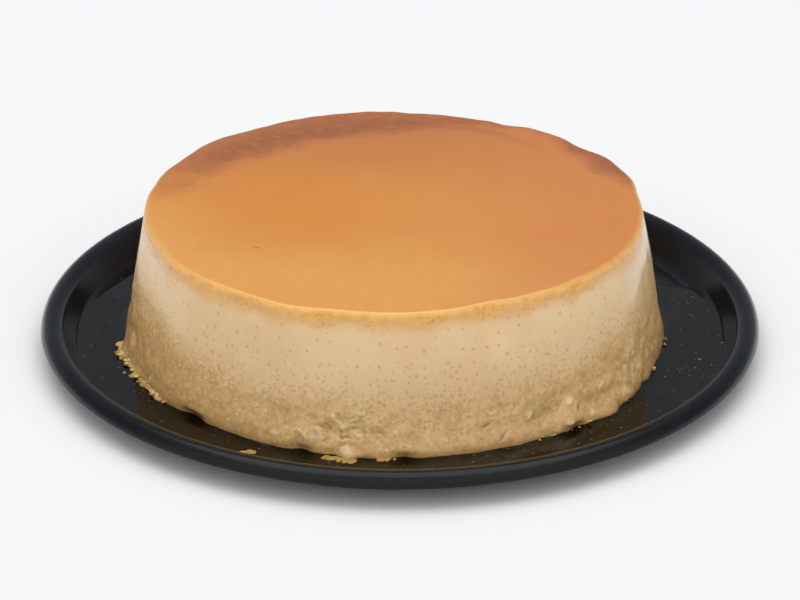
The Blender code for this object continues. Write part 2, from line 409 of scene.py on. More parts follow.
@dataclass(frozen=True)
class FlanForm:
    """The flan's form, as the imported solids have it.

    Attributes:
        centre: Its axis on the plate.
        top: Height of its top.
        top_radius: Radius of its top.
        taper: Gain in radius for each metre down.
        foot_band: Below this it stands upright in the syrup.
        foot_flare: How far its foot spreads.
        flare_height: Where the spread begins.
        scallop_reach: Depth of the narrow lobes that its pan left.
        scallop_length: Length of these lobes.
        scallop_layer: Height at which their noise is read.
        ruffle_reach: Depth of the fine ruffles on them.
        ruffle_length: Length of these ruffles.
        ruffle_stretch: Middle and half-width of the stretch that has them, in degrees.
        lobe_depth: How far below the top the wide lobes die out.
        crag_size: Size of the lower side's lumps.
        crag_depth: Their depth.
        crag_height: How far up they climb.
        crag_full: Share of that height up to which they keep their full depth.
        rough_everywhere: Strength of the crags away from the rough patches.
        mark_height: How far up the foot's nicks and scraps reach.
        swell_height: How far up its wide swells reach.
        edge_lobes: Wide lobes and dents of the top's edge.
        foot_marks: Nicks and scraps of the foot.
        foot_swells: Wide swells of the foot.
        rough_patches: Where the crags are stronger.
        high_crags: Where they climb further.
    """

    centre: tuple[float, float] = (-0.0028, 0.0005)
    top: float = 0.0602
    top_radius: float = 0.1037
    taper: float = 0.145
    foot_band: float = 0.0032
    foot_flare: float = 0.0012
    flare_height: float = 0.0190
    scallop_reach: float = 0.0009
    scallop_length: float = 0.016
    scallop_layer: float = 3.7
    ruffle_reach: float = 0.0009
    ruffle_length: float = 0.0085
    ruffle_stretch: tuple[float, float] = (105.0, 90.0)
    lobe_depth: float = 0.025
    crag_size: float = 0.0085
    crag_depth: float = 0.0013
    crag_height: float = 0.026
    crag_full: float = 0.3
    rough_everywhere: float = 0.25
    mark_height: float = 0.0065
    swell_height: float = 0.0115
    edge_lobes: tuple[Mark, ...] = (
        Mark(170.0, 14.0, -0.0012),
        Mark(153.0, 11.0, -0.0012),
        Mark(142.0, 6.0, 0.0005),
        Mark(126.0, 8.0, -0.0008),
        Mark(90.0, 75.0, -0.0011),
        Mark(87.0, 5.0, -0.0011),
        Mark(82.0, 8.0, -0.0010),
        Mark(70.0, 18.0, -0.0030),
        Mark(60.0, 6.0, -0.0018),
        Mark(37.0, 9.0, -0.0016),
        Mark(21.0, 12.0, 0.0008),
        Mark(0.0, 17.0, -0.0014),
        Mark(-46.0, 8.0, -0.0010),
        Mark(-56.0, 9.0, -0.0012),
        Mark(-68.0, 12.0, -0.0024),
        Mark(-112.0, 12.0, 0.0009),
        Mark(-166.0, 22.0, -0.0016),
    )
    foot_marks: tuple[Mark, ...] = (
        Mark(-168.0, 6.0, 0.0016),
        Mark(-157.0, 4.0, 0.0012),
        Mark(-135.0, 5.0, -0.0026),
        Mark(-108.0, 3.0, -0.0016),
        Mark(-98.6, 3.2, 0.0028),
        Mark(-87.5, 3.5, -0.0016),
        Mark(-50.5, 3.0, -0.0018),
        Mark(-41.0, 6.0, 0.0014),
        Mark(-27.0, 5.0, -0.0004),
        Mark(38.0, 5.0, 0.0013),
        Mark(84.0, 4.0, -0.0020),
        Mark(121.0, 5.0, 0.0012),
    )
    foot_swells: tuple[Mark, ...] = (
        Mark(-78.0, 58.0, 0.0017),
        Mark(-42.0, 26.0, 0.0018),
    )
    rough_patches: tuple[Mark, ...] = (
        Mark(-101.0, 24.0, 0.75),
        Mark(-40.0, 40.0, 0.90),
        Mark(45.0, 35.0, 0.60),
        Mark(120.0, 40.0, 0.65),
        Mark(-165.0, 26.0, 0.55),
    )
    high_crags: tuple[Mark, ...] = (Mark(-8.0, 34.0, 0.014), Mark(178.0, 38.0, 0.026))

    def straight(self, heights: np.ndarray) -> np.ndarray:
        """Give the plain cone's radius at each height."""
        return self.top_radius + self.taper * (self.top - np.maximum(heights, self.foot_band))

    def roughness(self, angles: np.ndarray, heights: np.ndarray) -> np.ndarray:
        """Give the strength of the crags on the side.

        Args:
            angles: Directions in radians.
            heights: Heights above the table.

        Returns:
            The strength at each place, from 0 to about 1.
        """
        peak = self.crag_height + total(self.high_crags, angles)
        strength = self.rough_everywhere + total(self.rough_patches, angles)
        return strength * fade(heights, self.crag_full * peak, peak)

    def side_radius(self, angles: np.ndarray, heights: np.ndarray) -> np.ndarray:
        """Give the side's radius about the flan's own axis.

        Args:
            angles: Directions in radians.
            heights: Heights above the table.

        Returns:
            The radius at each place.
        """
        level = np.maximum(heights, self.foot_band)
        radius, layer = self.top_radius, self.scallop_layer
        narrow = self.scallop_reach * ripple(angles, radius, self.scallop_length, layer)
        ruffled = self.ruffle_reach * hump(angles, *self.ruffle_stretch)
        narrow += ruffled * ripple(angles, radius, self.ruffle_length, layer)
        wide = total(self.edge_lobes, angles) * (1.0 - fade(heights, self.top - self.lobe_depth, self.top))
        flare = self.foot_flare * fade(level, self.foot_band, self.flare_height)
        marks = total(self.foot_marks, angles) * fade(level, self.foot_band, self.mark_height)
        marks += total(self.foot_swells, angles) * fade(level, self.foot_band, self.swell_height)
        places = around(angles, radius, level) / self.crag_size
        lumpy = [noise.fractal(place, 1.0, 2.0, 2) for place in places.tolist()]
        crags = self.crag_depth * self.roughness(angles, level) * np.array(lumpy)
        return self.straight(heights) + flare + narrow + wide + crags + marks


@dataclass(frozen=True)
class PlateForm:
    """The plate's turned form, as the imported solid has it.

    Attributes:
        radius: Its outer radius.
        thickness: Its wall.
        rim_roll: Outer radius of the rim's rolled section.
        rim_axis: Height of the roll's middle.
        rim_end: Angle above the roll's middle at which the lip stops.
        wall_slope: Slope of the wall.
        well_fillet: Radius between floor and wall.
        gap: Clearance that the pool keeps from the wall.
        shore_wave: Depth of the ripples along the pool's edge.
        shore_wave_length: Their length.
        shore_layer: Height at which their noise is read.
        bays: Where the pool stops short of the wall.
    """

    radius: float
    thickness: float = 0.0009
    rim_roll: float = 0.0052
    rim_axis: float = 0.0089
    rim_end: float = math.radians(6)
    wall_slope: float = math.radians(62)
    well_fillet: float = 0.0060
    gap: float = 0.0003
    shore_wave: float = 0.0004
    shore_wave_length: float = 0.012
    shore_layer: float = 9.1
    bays: tuple[Mark, ...] = (
        Mark(24.0, 7.0, -0.0095),
        Mark(36.0, 12.0, -0.0080),
        Mark(146.0, 6.0, -0.0030),
    )

    def roll(self) -> tuple[float, float]:
        """Give the middle of the rim's roll, as radius and height."""
        return self.radius - self.rim_roll, self.rim_axis

    def fillet(self) -> tuple[float, float]:
        """Give the middle of the fillet between floor and wall, as radius and height."""
        radius, height = self.roll()
        reach = self.rim_roll + self.well_fillet
        normal = math.pi / 2 + self.wall_slope
        middle = self.thickness + self.well_fillet
        drop = height + reach * math.sin(normal) - middle
        return radius + reach * math.cos(normal) - drop / math.tan(self.wall_slope), middle

    def wall_radius(self, heights: np.ndarray) -> np.ndarray:
        """Give the radius at which the well's fillet stands at each height."""
        radius, middle = self.fillet()
        return radius + np.sqrt(np.maximum(self.well_fillet**2 - (middle - heights) ** 2, 0.0))

    def shore_inset(self, angles: np.ndarray) -> np.ndarray:
        """Give how far the pool's edge keeps from the wall at each angle."""
        shore = ripple(angles, self.radius, self.shore_wave_length, self.shore_layer)
        return self.shore_wave * np.abs(shore) - total(self.bays, angles)


# ---- Modelling ----


class Workshop:
    """Modelling steps that leave one finished object in the scene."""

    SEED = 0.001  # size of the face that shrinks to a section's first point

    @staticmethod
    def pick(*pieces: bpy.types.Object) -> None:
        """Select pieces and nothing else.

        Args:
            pieces: The pieces; the first of them becomes the active one.
        """
        bpy.ops.object.select_all(action="DESELECT")
        for piece in pieces:
            piece.select_set(True)
        bpy.context.view_layer.objects.active = pieces[0]

    @staticmethod
    def arc(middle: tuple[float, float], radius: float, start: float, end: float, steps: int) -> list:
        """Give points along an arc; angles run from outwards towards upwards."""
        angles = [start + (end - start) * step / steps for step in range(steps + 1)]
        return [(middle[0] + radius * math.cos(a), middle[1] + radius * math.sin(a)) for a in angles]

    def turned(self, name: str, section: Section, steps: int, closed: bool = False) -> bpy.types.Object:
        """Turn a section about the upright axis.

        Args:
            name: The new object's name.
            section: Points as radius and height; open sections start and end on the axis.
            steps: Faces round the turn.
            closed: Whether the section closes on itself, as a ring's does.

        Returns:
            The turned object, its faces outwards.
        """
        bpy.ops.object.select_all(action="DESELECT")
        start = (section[0][0], 0.0, section[0][1])
        bpy.ops.mesh.primitive_plane_add(size=self.SEED, location=start)
        made = bpy.context.object
        bpy.ops.object.mode_set(mode="EDIT")
        bpy.ops.mesh.select_all(action="SELECT")
        bpy.ops.mesh.merge(type="CENTER")
        for (radius, height), (next_radius, next_height) in zip(section, section[1:]):
            step = (next_radius - radius, 0.0, next_height - height)
            bpy.ops.mesh.extrude_region_move(TRANSFORM_OT_translate={"value": step})
        if closed:
            self._join_ends(made)
        bpy.ops.object.mode_set(mode="OBJECT")
        bpy.ops.object.transform_apply(location=True, rotation=True, scale=True)
        lathe = made.modifiers.new("lathe", "SCREW")
        lathe.steps = lathe.render_steps = steps
        lathe.use_merge_vertices, lathe.merge_threshold = True, WELD
        bpy.ops.object.modifier_apply(modifier=lathe.name)
        bpy.ops.object.mode_set(mode="EDIT")
        bpy.ops.mesh.select_all(action="SELECT")
        bpy.ops.mesh.remove_doubles(threshold=WELD)
        bpy.ops.mesh.normals_make_consistent(inside=False)
        bpy.ops.object.mode_set(mode="OBJECT")
        made.name = made.data.name = name
        return made

    @staticmethod
    def _join_ends(made: bpy.types.Object) -> None:
        """Close a chain of edges with one more edge.

        Args:
            made: The object being edited, all of it one open chain.
        """
        bpy.ops.mesh.select_all(action="DESELECT")
        bpy.ops.object.mode_set(mode="OBJECT")
        uses = np.bincount([point for edge in made.data.edges for point in edge.vertices])
        for vertex in made.data.vertices:
            vertex.select = bool(uses[vertex.index] == 1)
        bpy.ops.object.mode_set(mode="EDIT")
        bpy.ops.mesh.edge_face_add()

    @staticmethod
    def points(made: bpy.types.Object) -> np.ndarray:
        """Read an object's points.

        Args:
            made: The object.

        Returns:
            Its points, one to a row.
        """
        flat = np.empty(len(made.data.vertices) * 3, np.float32)
        made.data.vertices.foreach_get("co", flat)
        return flat.reshape(-1, 3).astype(float)

    @staticmethod
    def move(made: bpy.types.Object, points: np.ndarray) -> None:
        """Set an object's points."""
        made.data.vertices.foreach_set("co", points.astype(np.float32).ravel())
        made.data.update()

    @staticmethod
    def mark(made: bpy.types.Object, name: str, values: np.ndarray) -> None:
        """Give each point of an object a number that its finish reads."""
        attribute = made.data.attributes.new(name, "FLOAT", "POINT")
        attribute.data.foreach_set("value", values.astype(np.float32))

    @staticmethod
    def smooth(made: bpy.types.Object, angle: float) -> None:
        """Shade an object smooth, save at edges sharper than an angle in degrees."""
        Workshop.pick(made)
        bpy.ops.object.shade_smooth_by_angle(angle=math.radians(angle))

    @staticmethod
    def joined(name: str, pieces: Sequence[bpy.types.Object]) -> bpy.types.Object:
        """Join pieces into one object with its place in its mesh.

        Args:
            name: The object's name.
            pieces: The pieces, which it uses up.

        Returns:
            The object.
        """
        Workshop.pick(*pieces)
        bpy.ops.object.join()
        bpy.ops.object.transform_apply(location=True, rotation=True, scale=True)
        made = bpy.context.object
        made.name = made.data.name = name
        return made

    @staticmethod
    def fit(
        made: bpy.types.Object, finish: bpy.types.Material, slot: Slot, stands_for: Node | None = None
    ) -> None:
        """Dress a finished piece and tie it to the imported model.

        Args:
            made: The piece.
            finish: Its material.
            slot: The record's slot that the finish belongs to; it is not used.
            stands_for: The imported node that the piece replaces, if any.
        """
        made.data.materials.clear()
        made.data.materials.append(finish)
        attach(made, "root")
        if stands_for is not None:
            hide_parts(stands_for.value)
        LOG.info("%s: %d faces", made.name, len(made.data.polygons))


# ---- Finishes ----


@dataclass(frozen=True)
class BlackPlastic:
    """Black moulded plastic with a satin gloss and faint scuffs.

    Attributes:
        colour: Its own colour.
        worn: Colour of the faint scuffs.
        gloss: Its roughness where it is clean.
        dulled: Gain in roughness in a scuff or in a patch of haze.
        haze_size: Size of the patches of haze.
        grain_size: Size of the moulded grain.
        grain_depth: Depth of that grain.
        ior: Index of refraction.
    """

    colour: Colour = (0.0028, 0.0036, 0.0046, OPAQUE)
    worn: Colour = (0.0100, 0.0120, 0.0140, OPAQUE)
    gloss: float = 0.15
    dulled: float = 0.08
    haze_size: float = 0.030
    grain_size: float = 0.0012
    grain_depth: float = 0.000012
    ior: float = 1.34

    def material(self) -> bpy.types.Material:
        """Build the material."""
        bench = Bench(bpy.data.materials.new("black_plastic"))
        place = bench.place()
        haze = bench.clouds(place, self.haze_size, 4.0)
        grain = bench.clouds(place, self.grain_size, 3.0)
        scuffs = (haze * grain).rise(0.26, 0.42)
        return bench.finish(
            Base_Color=bench.blend(scuffs * 0.5, self.colour, self.worn),
            Roughness=self.gloss + haze.rise(0.35, 0.75) * self.dulled + scuffs * self.dulled,
            IOR=self.ior,
            Normal=bench.relief(grain, self.grain_depth),
        )


@dataclass(frozen=True)
class DarkSyrup:
    """Thin caramel syrup over the black plate: almost black, with a wet mirror surface.

    Attributes:
        colour: Its own colour.
        deep: Its colour where it is thicker.
        speck: Colour of the fine custard that floats in it.
        large: Scatter of the larger specks.
        small: Scatter of the smaller and fainter ones.
        drift_size: Size of the thicker patches.
        wave_size: Length of its surface's waves.
        wave_depth: Their depth.
        gloss: Its roughness where it is thin.
        ior: Index of refraction.
    """

    colour: Colour = (0.0050, 0.0032, 0.0008, OPAQUE)
    deep: Colour = (0.0100, 0.0062, 0.0012, OPAQUE)
    speck: Colour = (0.0700, 0.0690, 0.0500, OPAQUE)
    large: Dots = Dots(0.0068, 0.00105, 0.24)
    small: Dots = Dots(0.0031, 0.0004, 0.20)
    drift_size: float = 0.022
    wave_size: float = 0.010
    wave_depth: float = 0.00003
    gloss: float = 0.030
    ior: float = 1.33

    def material(self) -> bpy.types.Material:
        """Build the material."""
        bench = Bench(bpy.data.materials.new("dark_syrup"))
        place = bench.place()
        drift = bench.clouds(place, self.drift_size, 3.0)
        specks = bench.dots(place, self.large).greatest(bench.dots(place, self.small) * 0.6)
        return bench.finish(
            Base_Color=bench.coats(self.colour, (drift.rise(0.4, 0.7), self.deep), (specks, self.speck)),
            Roughness=self.gloss + drift.rise(0.5, 0.8) * 0.02,
            IOR=self.ior,
            Normal=bench.relief(bench.clouds(place, self.wave_size), self.wave_depth),
        )


class FlanPaint:
    """The colours of the flan's side, shared by the custard and its caramel layer.

    The side runs from amber under the edge through cream to tan at the foot. Both pieces
    read the same heights, so no line shows where one ends and the other begins. A pair of
    depths says how far below the top a tint begins and where it is full.
    """

    GOLD = paint(239, 187, 107)
    SOAKED = paint(231, 177, 112)
    CREAM = paint(238, 206, 158)
    BLUSH = paint(234, 198, 150)
    TAN = paint(243, 203, 142)
    BROWN = paint(221, 178, 117)
    DEEP = paint(212, 161, 96)
    FOOT = paint(172, 128, 64)
    AMBER = paint(214, 150, 66)
    PINHOLE = paint(214, 154, 84)
    BUBBLE = paint(222, 148, 58)
    CURD = paint(252, 230, 184)
    CREASE = paint(184, 126, 60)

    SOAKED_DEPTHS = (0.0095, 0.0035)
    GOLD_DEPTHS = (0.0042, 0.0024)
    BUBBLE_DEPTHS = (0.0085, 0.0052)
    BUBBLE_END = (0.0010, 0.0022)
    DRIFT_SIZE = 0.018
    DRIFT_REACH = 0.008  # how far the drift carries the soaked tint down
    BLOT_SIZE = 0.0034
    BLOT_REACH = 0.0075  # how ragged the golden edge is
    BUBBLES = Dots(0.0021, 0.00120, 0.66)
    CLUSTER_SIZE = 0.012

    def __init__(self, bench: Bench, form: FlanForm) -> None:
        """Keep the bench and the flan's form, and unroll its side.

        Args:
            bench: The material's bench.
            form: The flan's form.
        """
        self.bench = bench
        self.form = form
        self.place = bench.place()
        x, y, self.z = bench.parts(self.place)
        self.x, self.y = x - form.centre[0], y - form.centre[1]
        self.reach = self.away(0.0, 0.0)
        turn = self.x.bearing(0.0 - self.y)
        self.skin = bench.joined(turn * form.top_radius, self.z, 0.0)

    def away(self, x: float, y: float, depth: float = 1.0) -> Signal:
        """Give the distance from a place on the top, with the way to front and back counted `depth` times."""
        return ((self.x - x) ** 2.0 + ((self.y - y) * depth) ** 2.0) ** 0.5

    def below(self, level: Signal, depths: tuple[float, float]) -> Signal:
        """Rise from 0 at the first depth below the top to 1 at the second."""
        return level.rise(self.form.top - depths[0], self.form.top - depths[1])

    def cream_side(self) -> Signal:
        """Give the smooth upper side's colour, amber at the top."""
        bench = self.bench
        drift = bench.clouds(self.place, self.DRIFT_SIZE, 3.0)
        blots = bench.clouds(self.place, self.BLOT_SIZE, 3.0)
        soak = self.z + (drift - 0.5) * self.DRIFT_REACH
        ragged = soak + (blots - 0.5) * self.BLOT_REACH
        gold = bench.blend(blots.rise(0.54, 0.36) * 0.55, self.GOLD, self.BUBBLE)
        return bench.coats(
            self.CREAM,
            (drift.rise(0.35, 0.65), self.BLUSH),
            (self.below(soak, self.SOAKED_DEPTHS), self.SOAKED),
            (self.below(ragged, self.GOLD_DEPTHS) * 0.90, gold),
        )

    def bubbles(self) -> Signal:
        """Give the small amber pits just under the edge."""
        band = self.below(self.z, self.BUBBLE_DEPTHS) * self.below(self.z, self.BUBBLE_END)
        clusters = self.bench.clouds(self.place, self.CLUSTER_SIZE).rise(0.42, 0.56)
        return self.bench.dots(self.skin, self.BUBBLES) * band * clusters


@dataclass(frozen=True)
class BakedCustard:
    """Moist baked custard: cream above, tan and craggy below, with fine pinholes.

    Attributes:
        form: The flan's form.
        few: Scatter of the pinholes high on the side.
        some: Scatter of those where the cream ends.
        many: Scatter of those in the tan.
        flakes: Scatter of the pale flakes in the tan.
        string_size: Width of the strings in which the pinholes lie.
        sway: How far the pinholes are pushed out of line.
        sways_per_metre: How often that push changes.
        fine_size: Size of the finest mottling.
        drift_size: Size of the wider clouds.
        heap_size: Size of the patches that have flakes.
        curds_per_metre: How close together the fine curds lie.
        foot_heights: Heights at which the dark foot begins and is full.
        grain_depth: Depth of the fine curds.
        hole_depth: Depth of a pinhole.
        gloss: Roughness of the cream; the tan is duller.
        ior: Index of refraction.
        glow: How far red, green and blue light spreads in it, as shares of the glow's scale.
        glow_scale: That scale.
    """

    form: FlanForm
    few: Dots = Dots(0.0050, 0.00116, 0.54)
    some: Dots = Dots(0.0030, 0.00108, 0.66)
    many: Dots = Dots(0.0019, 0.00086, 0.62)
    flakes: Dots = Dots(0.0031, 0.00130, 0.42)
    string_size: float = 0.011
    sway: float = 0.0007
    sways_per_metre: float = 700.0
    fine_size: float = 0.0013
    drift_size: float = 0.008
    heap_size: float = 0.014
    curds_per_metre: float = 560.0
    foot_heights: tuple[float, float] = (0.0070, 0.0030)
    grain_depth: float = 0.00017
    hole_depth: float = 0.00002
    gloss: float = 0.13
    ior: float = 1.42
    glow: tuple[float, float, float] = (1.0, 0.45, 0.20)
    glow_scale: float = 0.0025

    def pinholes(self, bench: Bench, side: FlanPaint, baked: Signal) -> Signal:
        """Give the pinholes: few above, in strings where the cream ends, close together below.

        Args:
            bench: The material's bench.
            side: The side's paint, which holds the place on the flan.
            baked: How far the side has turned to tan.

        Returns:
            1 in a pinhole.
        """
        strings = bench.clouds(side.place, self.string_size, 2.0, 3.0)
        noisy = {"Vector": side.skin, "Scale": self.sways_per_metre, "Detail": 1.0}
        wander = bench.node("ShaderNodeTexNoise", None, noisy, "Color")
        pushed = {0: wander, 1: (self.sway, self.sway, 0.0), 2: side.skin}
        bent = bench.node("ShaderNodeVectorMath", {"operation": "MULTIPLY_ADD"}, pushed)
        few = bench.dots(bent, self.few) * baked.rise(-1.7, -0.9)
        some = bench.dots(bent, self.some) * baked.rise(-0.60, -0.20) * strings.rise(0.38, 0.52)
        many = bench.dots(bent, self.many) * baked.rise(-0.05, 0.20) * baked.rise(1.3, 0.3)
        return few.greatest(some).greatest(many * strings.rise(0.32, 0.50))

    def material(self) -> bpy.types.Material:
        """Build the material."""
        bench = Bench(bpy.data.materials.new("baked_custard"))
        side = FlanPaint(bench, self.form)
        crag, fringe, level = map(bench.attribute, ("crag", "fringe", "baked"))
        fine = bench.clouds(side.place, self.fine_size, 3.0)
        drift = bench.clouds(side.place, self.drift_size, 3.0)
        heaps = bench.clouds(side.place, self.heap_size)
        cells = {"Vector": side.place, "Scale": self.curds_per_metre}
        curds = bench.node("ShaderNodeTexVoronoi", {"feature": "SMOOTH_F1"}, cells)
        baked = level + (drift - 0.5) * 0.30
        turned = baked.rise(-0.15, 0.75)
        grainy = baked.rise(0.0, 0.5)
        sideways = side.x / self.form.top_radius
        # Painted reflection: the tan and the foot are darker towards the left and right, most of all at the
        # left, where the glossy side mirrors the black plate.
        beside = sideways.rise(-0.55, -1.00) + sideways.rise(0.55, 1.00) * 0.30
        deep_tan_and_side_reflection = baked.rise(0.80, 1.70).greatest(beside * 0.65)
        mottled = (fine * 0.45 + drift * 0.55).rise(0.32, 0.60)
        tan = bench.coats(side.BROWN, (mottled, side.TAN), (deep_tan_and_side_reflection * 0.85, side.DEEP))
        crest = crag + (fine - 0.5) * 0.20
        flakes = bench.dots(side.skin, self.flakes) * level.rise(0.25, 0.80) * heaps.rise(0.40, 0.54)
        ahead = (side.y / -self.form.top_radius).rise(0.15, 0.85)
        holes = self.pinholes(bench, side, level - (1.0 - ahead) * 0.55)
        foot = (side.z + (drift - 0.5) * 0.004).rise(*self.foot_heights)
        colour = bench.coats(
            side.cream_side(),
            (turned, tan),
            (curds.rise(0.52, 0.14) * grainy * 0.24, side.CURD),
            (curds.rise(0.46, 0.76) * grainy * 0.38, side.DEEP),
            (crest.rise(0.58, 0.92) * 0.62, side.CURD),
            (flakes * 0.45, side.CURD),
            # Brown in the creases; in the foot's nick this brown is painted shade.
            (crest.rise(0.38, 0.04) * 0.80, side.CREASE),
            (holes * 0.68, side.PINHOLE),
            (side.bubbles() * 0.85, side.BUBBLE),
            # The foot's own darker colour, deepened towards the sides by the painted reflection.
            (foot * (1.0 - fringe) * (beside * 0.30 + 0.42), side.FOOT),
            (foot * fringe * 0.55, side.AMBER),
        )
        grain = bench.relief((fine * 0.5 - curds * 0.4 + flakes * 0.8) * grainy, self.grain_depth)
        return bench.finish(
            Base_Color=colour,
            Roughness=self.gloss + turned * 0.10 + (fine - 0.5) * 0.06,
            IOR=self.ior,
            Subsurface_Weight=0.22,
            Subsurface_Radius=self.glow,
            Subsurface_Scale=self.glow_scale,
            Normal=bench.relief(1.0 - holes, self.hole_depth, grain),
        )


@dataclass(frozen=True)
class CaramelGlaze:
    """The caramel-soaked top: smooth, amber, moist, with darker bands at the back.

    Attributes:
        form: The flan's form.
        amber: Colour of the middle.
        honey: Paler tint towards the front.
        orange: Warm tint of the cloud left of the middle.
        rose: Tint towards the right, and of the fine mottling.
        toast: Tint towards the back.
        dark: Colour of the band and of the blemishes, and the painted shade next to the ripple.
        violet: Cooler wisps on the band, and the painted highlight of the ripple.
        fleck: Colour of the fine flecks.
        line: Painted highlight, a bright line along the edge.
        flecks: Scatter of the flecks.
        cloud_at: Middle of the warm cloud, right of and behind the flan's axis.
        cloud_reach: Distances from there at which it begins and is full.
        ripple_radius: Where the painted highlight of the ripple behind the middle runs.
        ripple_shade_radius: Where the painted shade next to it runs.
        blemishes: Small dark marks, as place to the right, place to the back and size; the first is partly
            painted shade of a small bump that the top leaves out.
        gloss: Its roughness.
        ior: Index of refraction.
        glow: How far red, green and blue light spreads in it, as shares of the glow's scale.
        glow_scale: That scale.
    """

    form: FlanForm
    amber: Colour = paint(221, 145, 64)
    honey: Colour = paint(230, 163, 82)
    orange: Colour = paint(219, 138, 50)
    rose: Colour = paint(213, 133, 70)
    toast: Colour = paint(198, 120, 58)
    dark: Colour = paint(162, 92, 50)
    violet: Colour = paint(190, 126, 92)
    fleck: Colour = paint(150, 92, 44)
    line: Colour = paint(250, 208, 132)
    flecks: Dots = Dots(0.0105, 0.00060, 0.40)
    cloud_at: tuple[float, float] = (-0.045, -0.006)
    cloud_reach: tuple[float, float] = (0.062, 0.010)
    ripple_radius: float = 0.0852
    ripple_shade_radius: float = 0.0868
    blemishes: tuple[tuple[float, float, float], ...] = ((-0.055, -0.043, 0.0020), (0.017, -0.053, 0.0009))
    gloss: float = 0.30
    ior: float = 1.36
    glow: tuple[float, float, float] = (1.0, 0.40, 0.12)
    glow_scale: float = 0.0020

    def top_colour(self, bench: Bench, side: FlanPaint) -> Signal:
        """Give the colour of the top, with its clouds and its dark band.

        Args:
            bench: The material's bench.
            side: The side's paint, which holds the place on the flan.

        Returns:
            The colour.
        """
        drift, wisps, blots, mottle, bends = (
            bench.clouds(side.place, size, detail)
            for size, detail in ((0.055, 3.0), (0.0055, 4.0), (0.013, 3.0), (0.0036, 4.0), (0.017, 2.0))
        )
        band, rippled, edge = map(bench.attribute, ("band", "ripple", "edge"))
        ahead = side.y / -self.form.top_radius + (drift - 0.5) * 0.5
        left = side.x / -self.form.top_radius + (drift - 0.5) * 0.5
        cloud = side.away(*self.cloud_at) + (drift - 0.5) * 0.03
        shadowed = (band + (wisps - 0.5) * 0.50 + (blots - 0.5) * 0.80) * band.rise(0.0, 0.35)
        outward = side.reach.rise(0.088, 0.102) * side.x.rise(0.060, 0.010)
        reach = side.reach + (bends - 0.5) * 0.012
        # Painted highlight of the ripple, with a painted shade next to it.
        ridge = (reach - self.ripple_radius).size().rise(0.0011, 0.0003) * rippled
        ripple_shade = (reach - self.ripple_shade_radius).size().rise(0.0050, 0.0008) * rippled
        marks = [(side.away(x, y, 1.6), size) for x, y, size in self.blemishes]
        return bench.coats(
            self.amber,
            (ahead.rise(0.05, -0.85), self.toast),
            ((ahead + left * 0.35).rise(-0.05, 0.80), self.honey),
            (left.rise(0.05, -0.90) * 0.75, self.rose),
            (cloud.rise(*self.cloud_reach) * 0.80, self.orange),
            (shadowed.rise(0.05, 0.95) * (1.0 - outward * 0.40), self.dark),
            (wisps.rise(0.46, 0.74) * band * 0.40, self.violet),
            # Painted shade next to the ripple, then the ripple's painted highlight.
            (ripple_shade * 0.40, self.dark),
            (ridge * 0.8, self.violet),
            (mottle.rise(0.35, 0.75) * 0.16, self.rose),
            # Dark marks; the first is partly painted shade of a small bump.
            *((off.rise(size, size * 0.3) * 0.55, self.dark) for off, size in marks),
            (bench.dots(side.place, self.flecks) * 0.5, self.fleck),
            # Painted highlight: a bright line along the rounded edge, brightest at the front.
            (edge * 0.62, self.line),
        )

    def material(self) -> bpy.types.Material:
        """Build the material."""
        bench = Bench(bpy.data.materials.new("caramel_glaze"))
        side = FlanPaint(bench, self.form)
        rim = bench.attribute("rim")
        peel = bench.clouds(side.place, 0.0045)
        return bench.finish(
            Base_Color=bench.coats(
                self.top_colour(bench, side),
                (rim, side.cream_side()),
                (side.bubbles() * rim * 0.8, side.BUBBLE),
            ),
            Roughness=self.gloss + (peel - 0.5) * 0.08,
            IOR=self.ior,
            Subsurface_Weight=0.15,
            Subsurface_Radius=self.glow,
            Subsurface_Scale=self.glow_scale,
            Normal=bench.relief(peel, 0.00005),
        )


@dataclass(frozen=True)
class LooseCustard:
    """Crumbs of custard that lie in the syrup and take up a little of it.

    Attributes:
        name: The material's name.
        pale: Colour where it is dry.
        dark: Colour where it is soaked.
        wet_heights: Heights at which it begins to be wet and is soaked.
        grain_size: Size of its grain.
        grain_depth: Depth of that grain.
        gloss: Its roughness.
        ior: Index of refraction.
    """

    name: str = "loose_custard"
    pale: Colour = paint(230, 204, 148)
    dark: Colour = paint(190, 152, 76)
    wet_heights: tuple[float, float] = (0.0048, 0.0028)
    grain_size: float = 0.0011
    grain_depth: float = 0.00025
    gloss: float = 0.32
    ior: float = 1.42

    def material(self) -> bpy.types.Material:
        """Build the material."""
        bench = Bench(bpy.data.materials.new(self.name))
        place = bench.place()
        _, _, height = bench.parts(place)
        grain = bench.clouds(place, self.grain_size, 3.0)
        wet = height.rise(*self.wet_heights)
        return bench.finish(
            Base_Color=bench.blend((wet * 0.7 + grain * 0.7).rise(0.3, 1.0), self.pale, self.dark),
            Roughness=self.gloss,
            IOR=self.ior,
            Normal=bench.relief(grain, self.grain_depth),
        )


@dataclass(frozen=True)
class PaleFloor:
    """The plain pale floor of the studio.

    Attributes:
        colour: Its colour.
    """

    colour: Colour = (0.95, 0.95, 0.95, OPAQUE)

    def material(self) -> bpy.types.Material:
        """Build the material."""
        bench = Bench(bpy.data.materials.new("pale_floor"))
        return bench.finish(Base_Color=self.colour, Roughness=0.9, Specular_IOR_Level=0.1)


# ---- Sub-assemblies ----


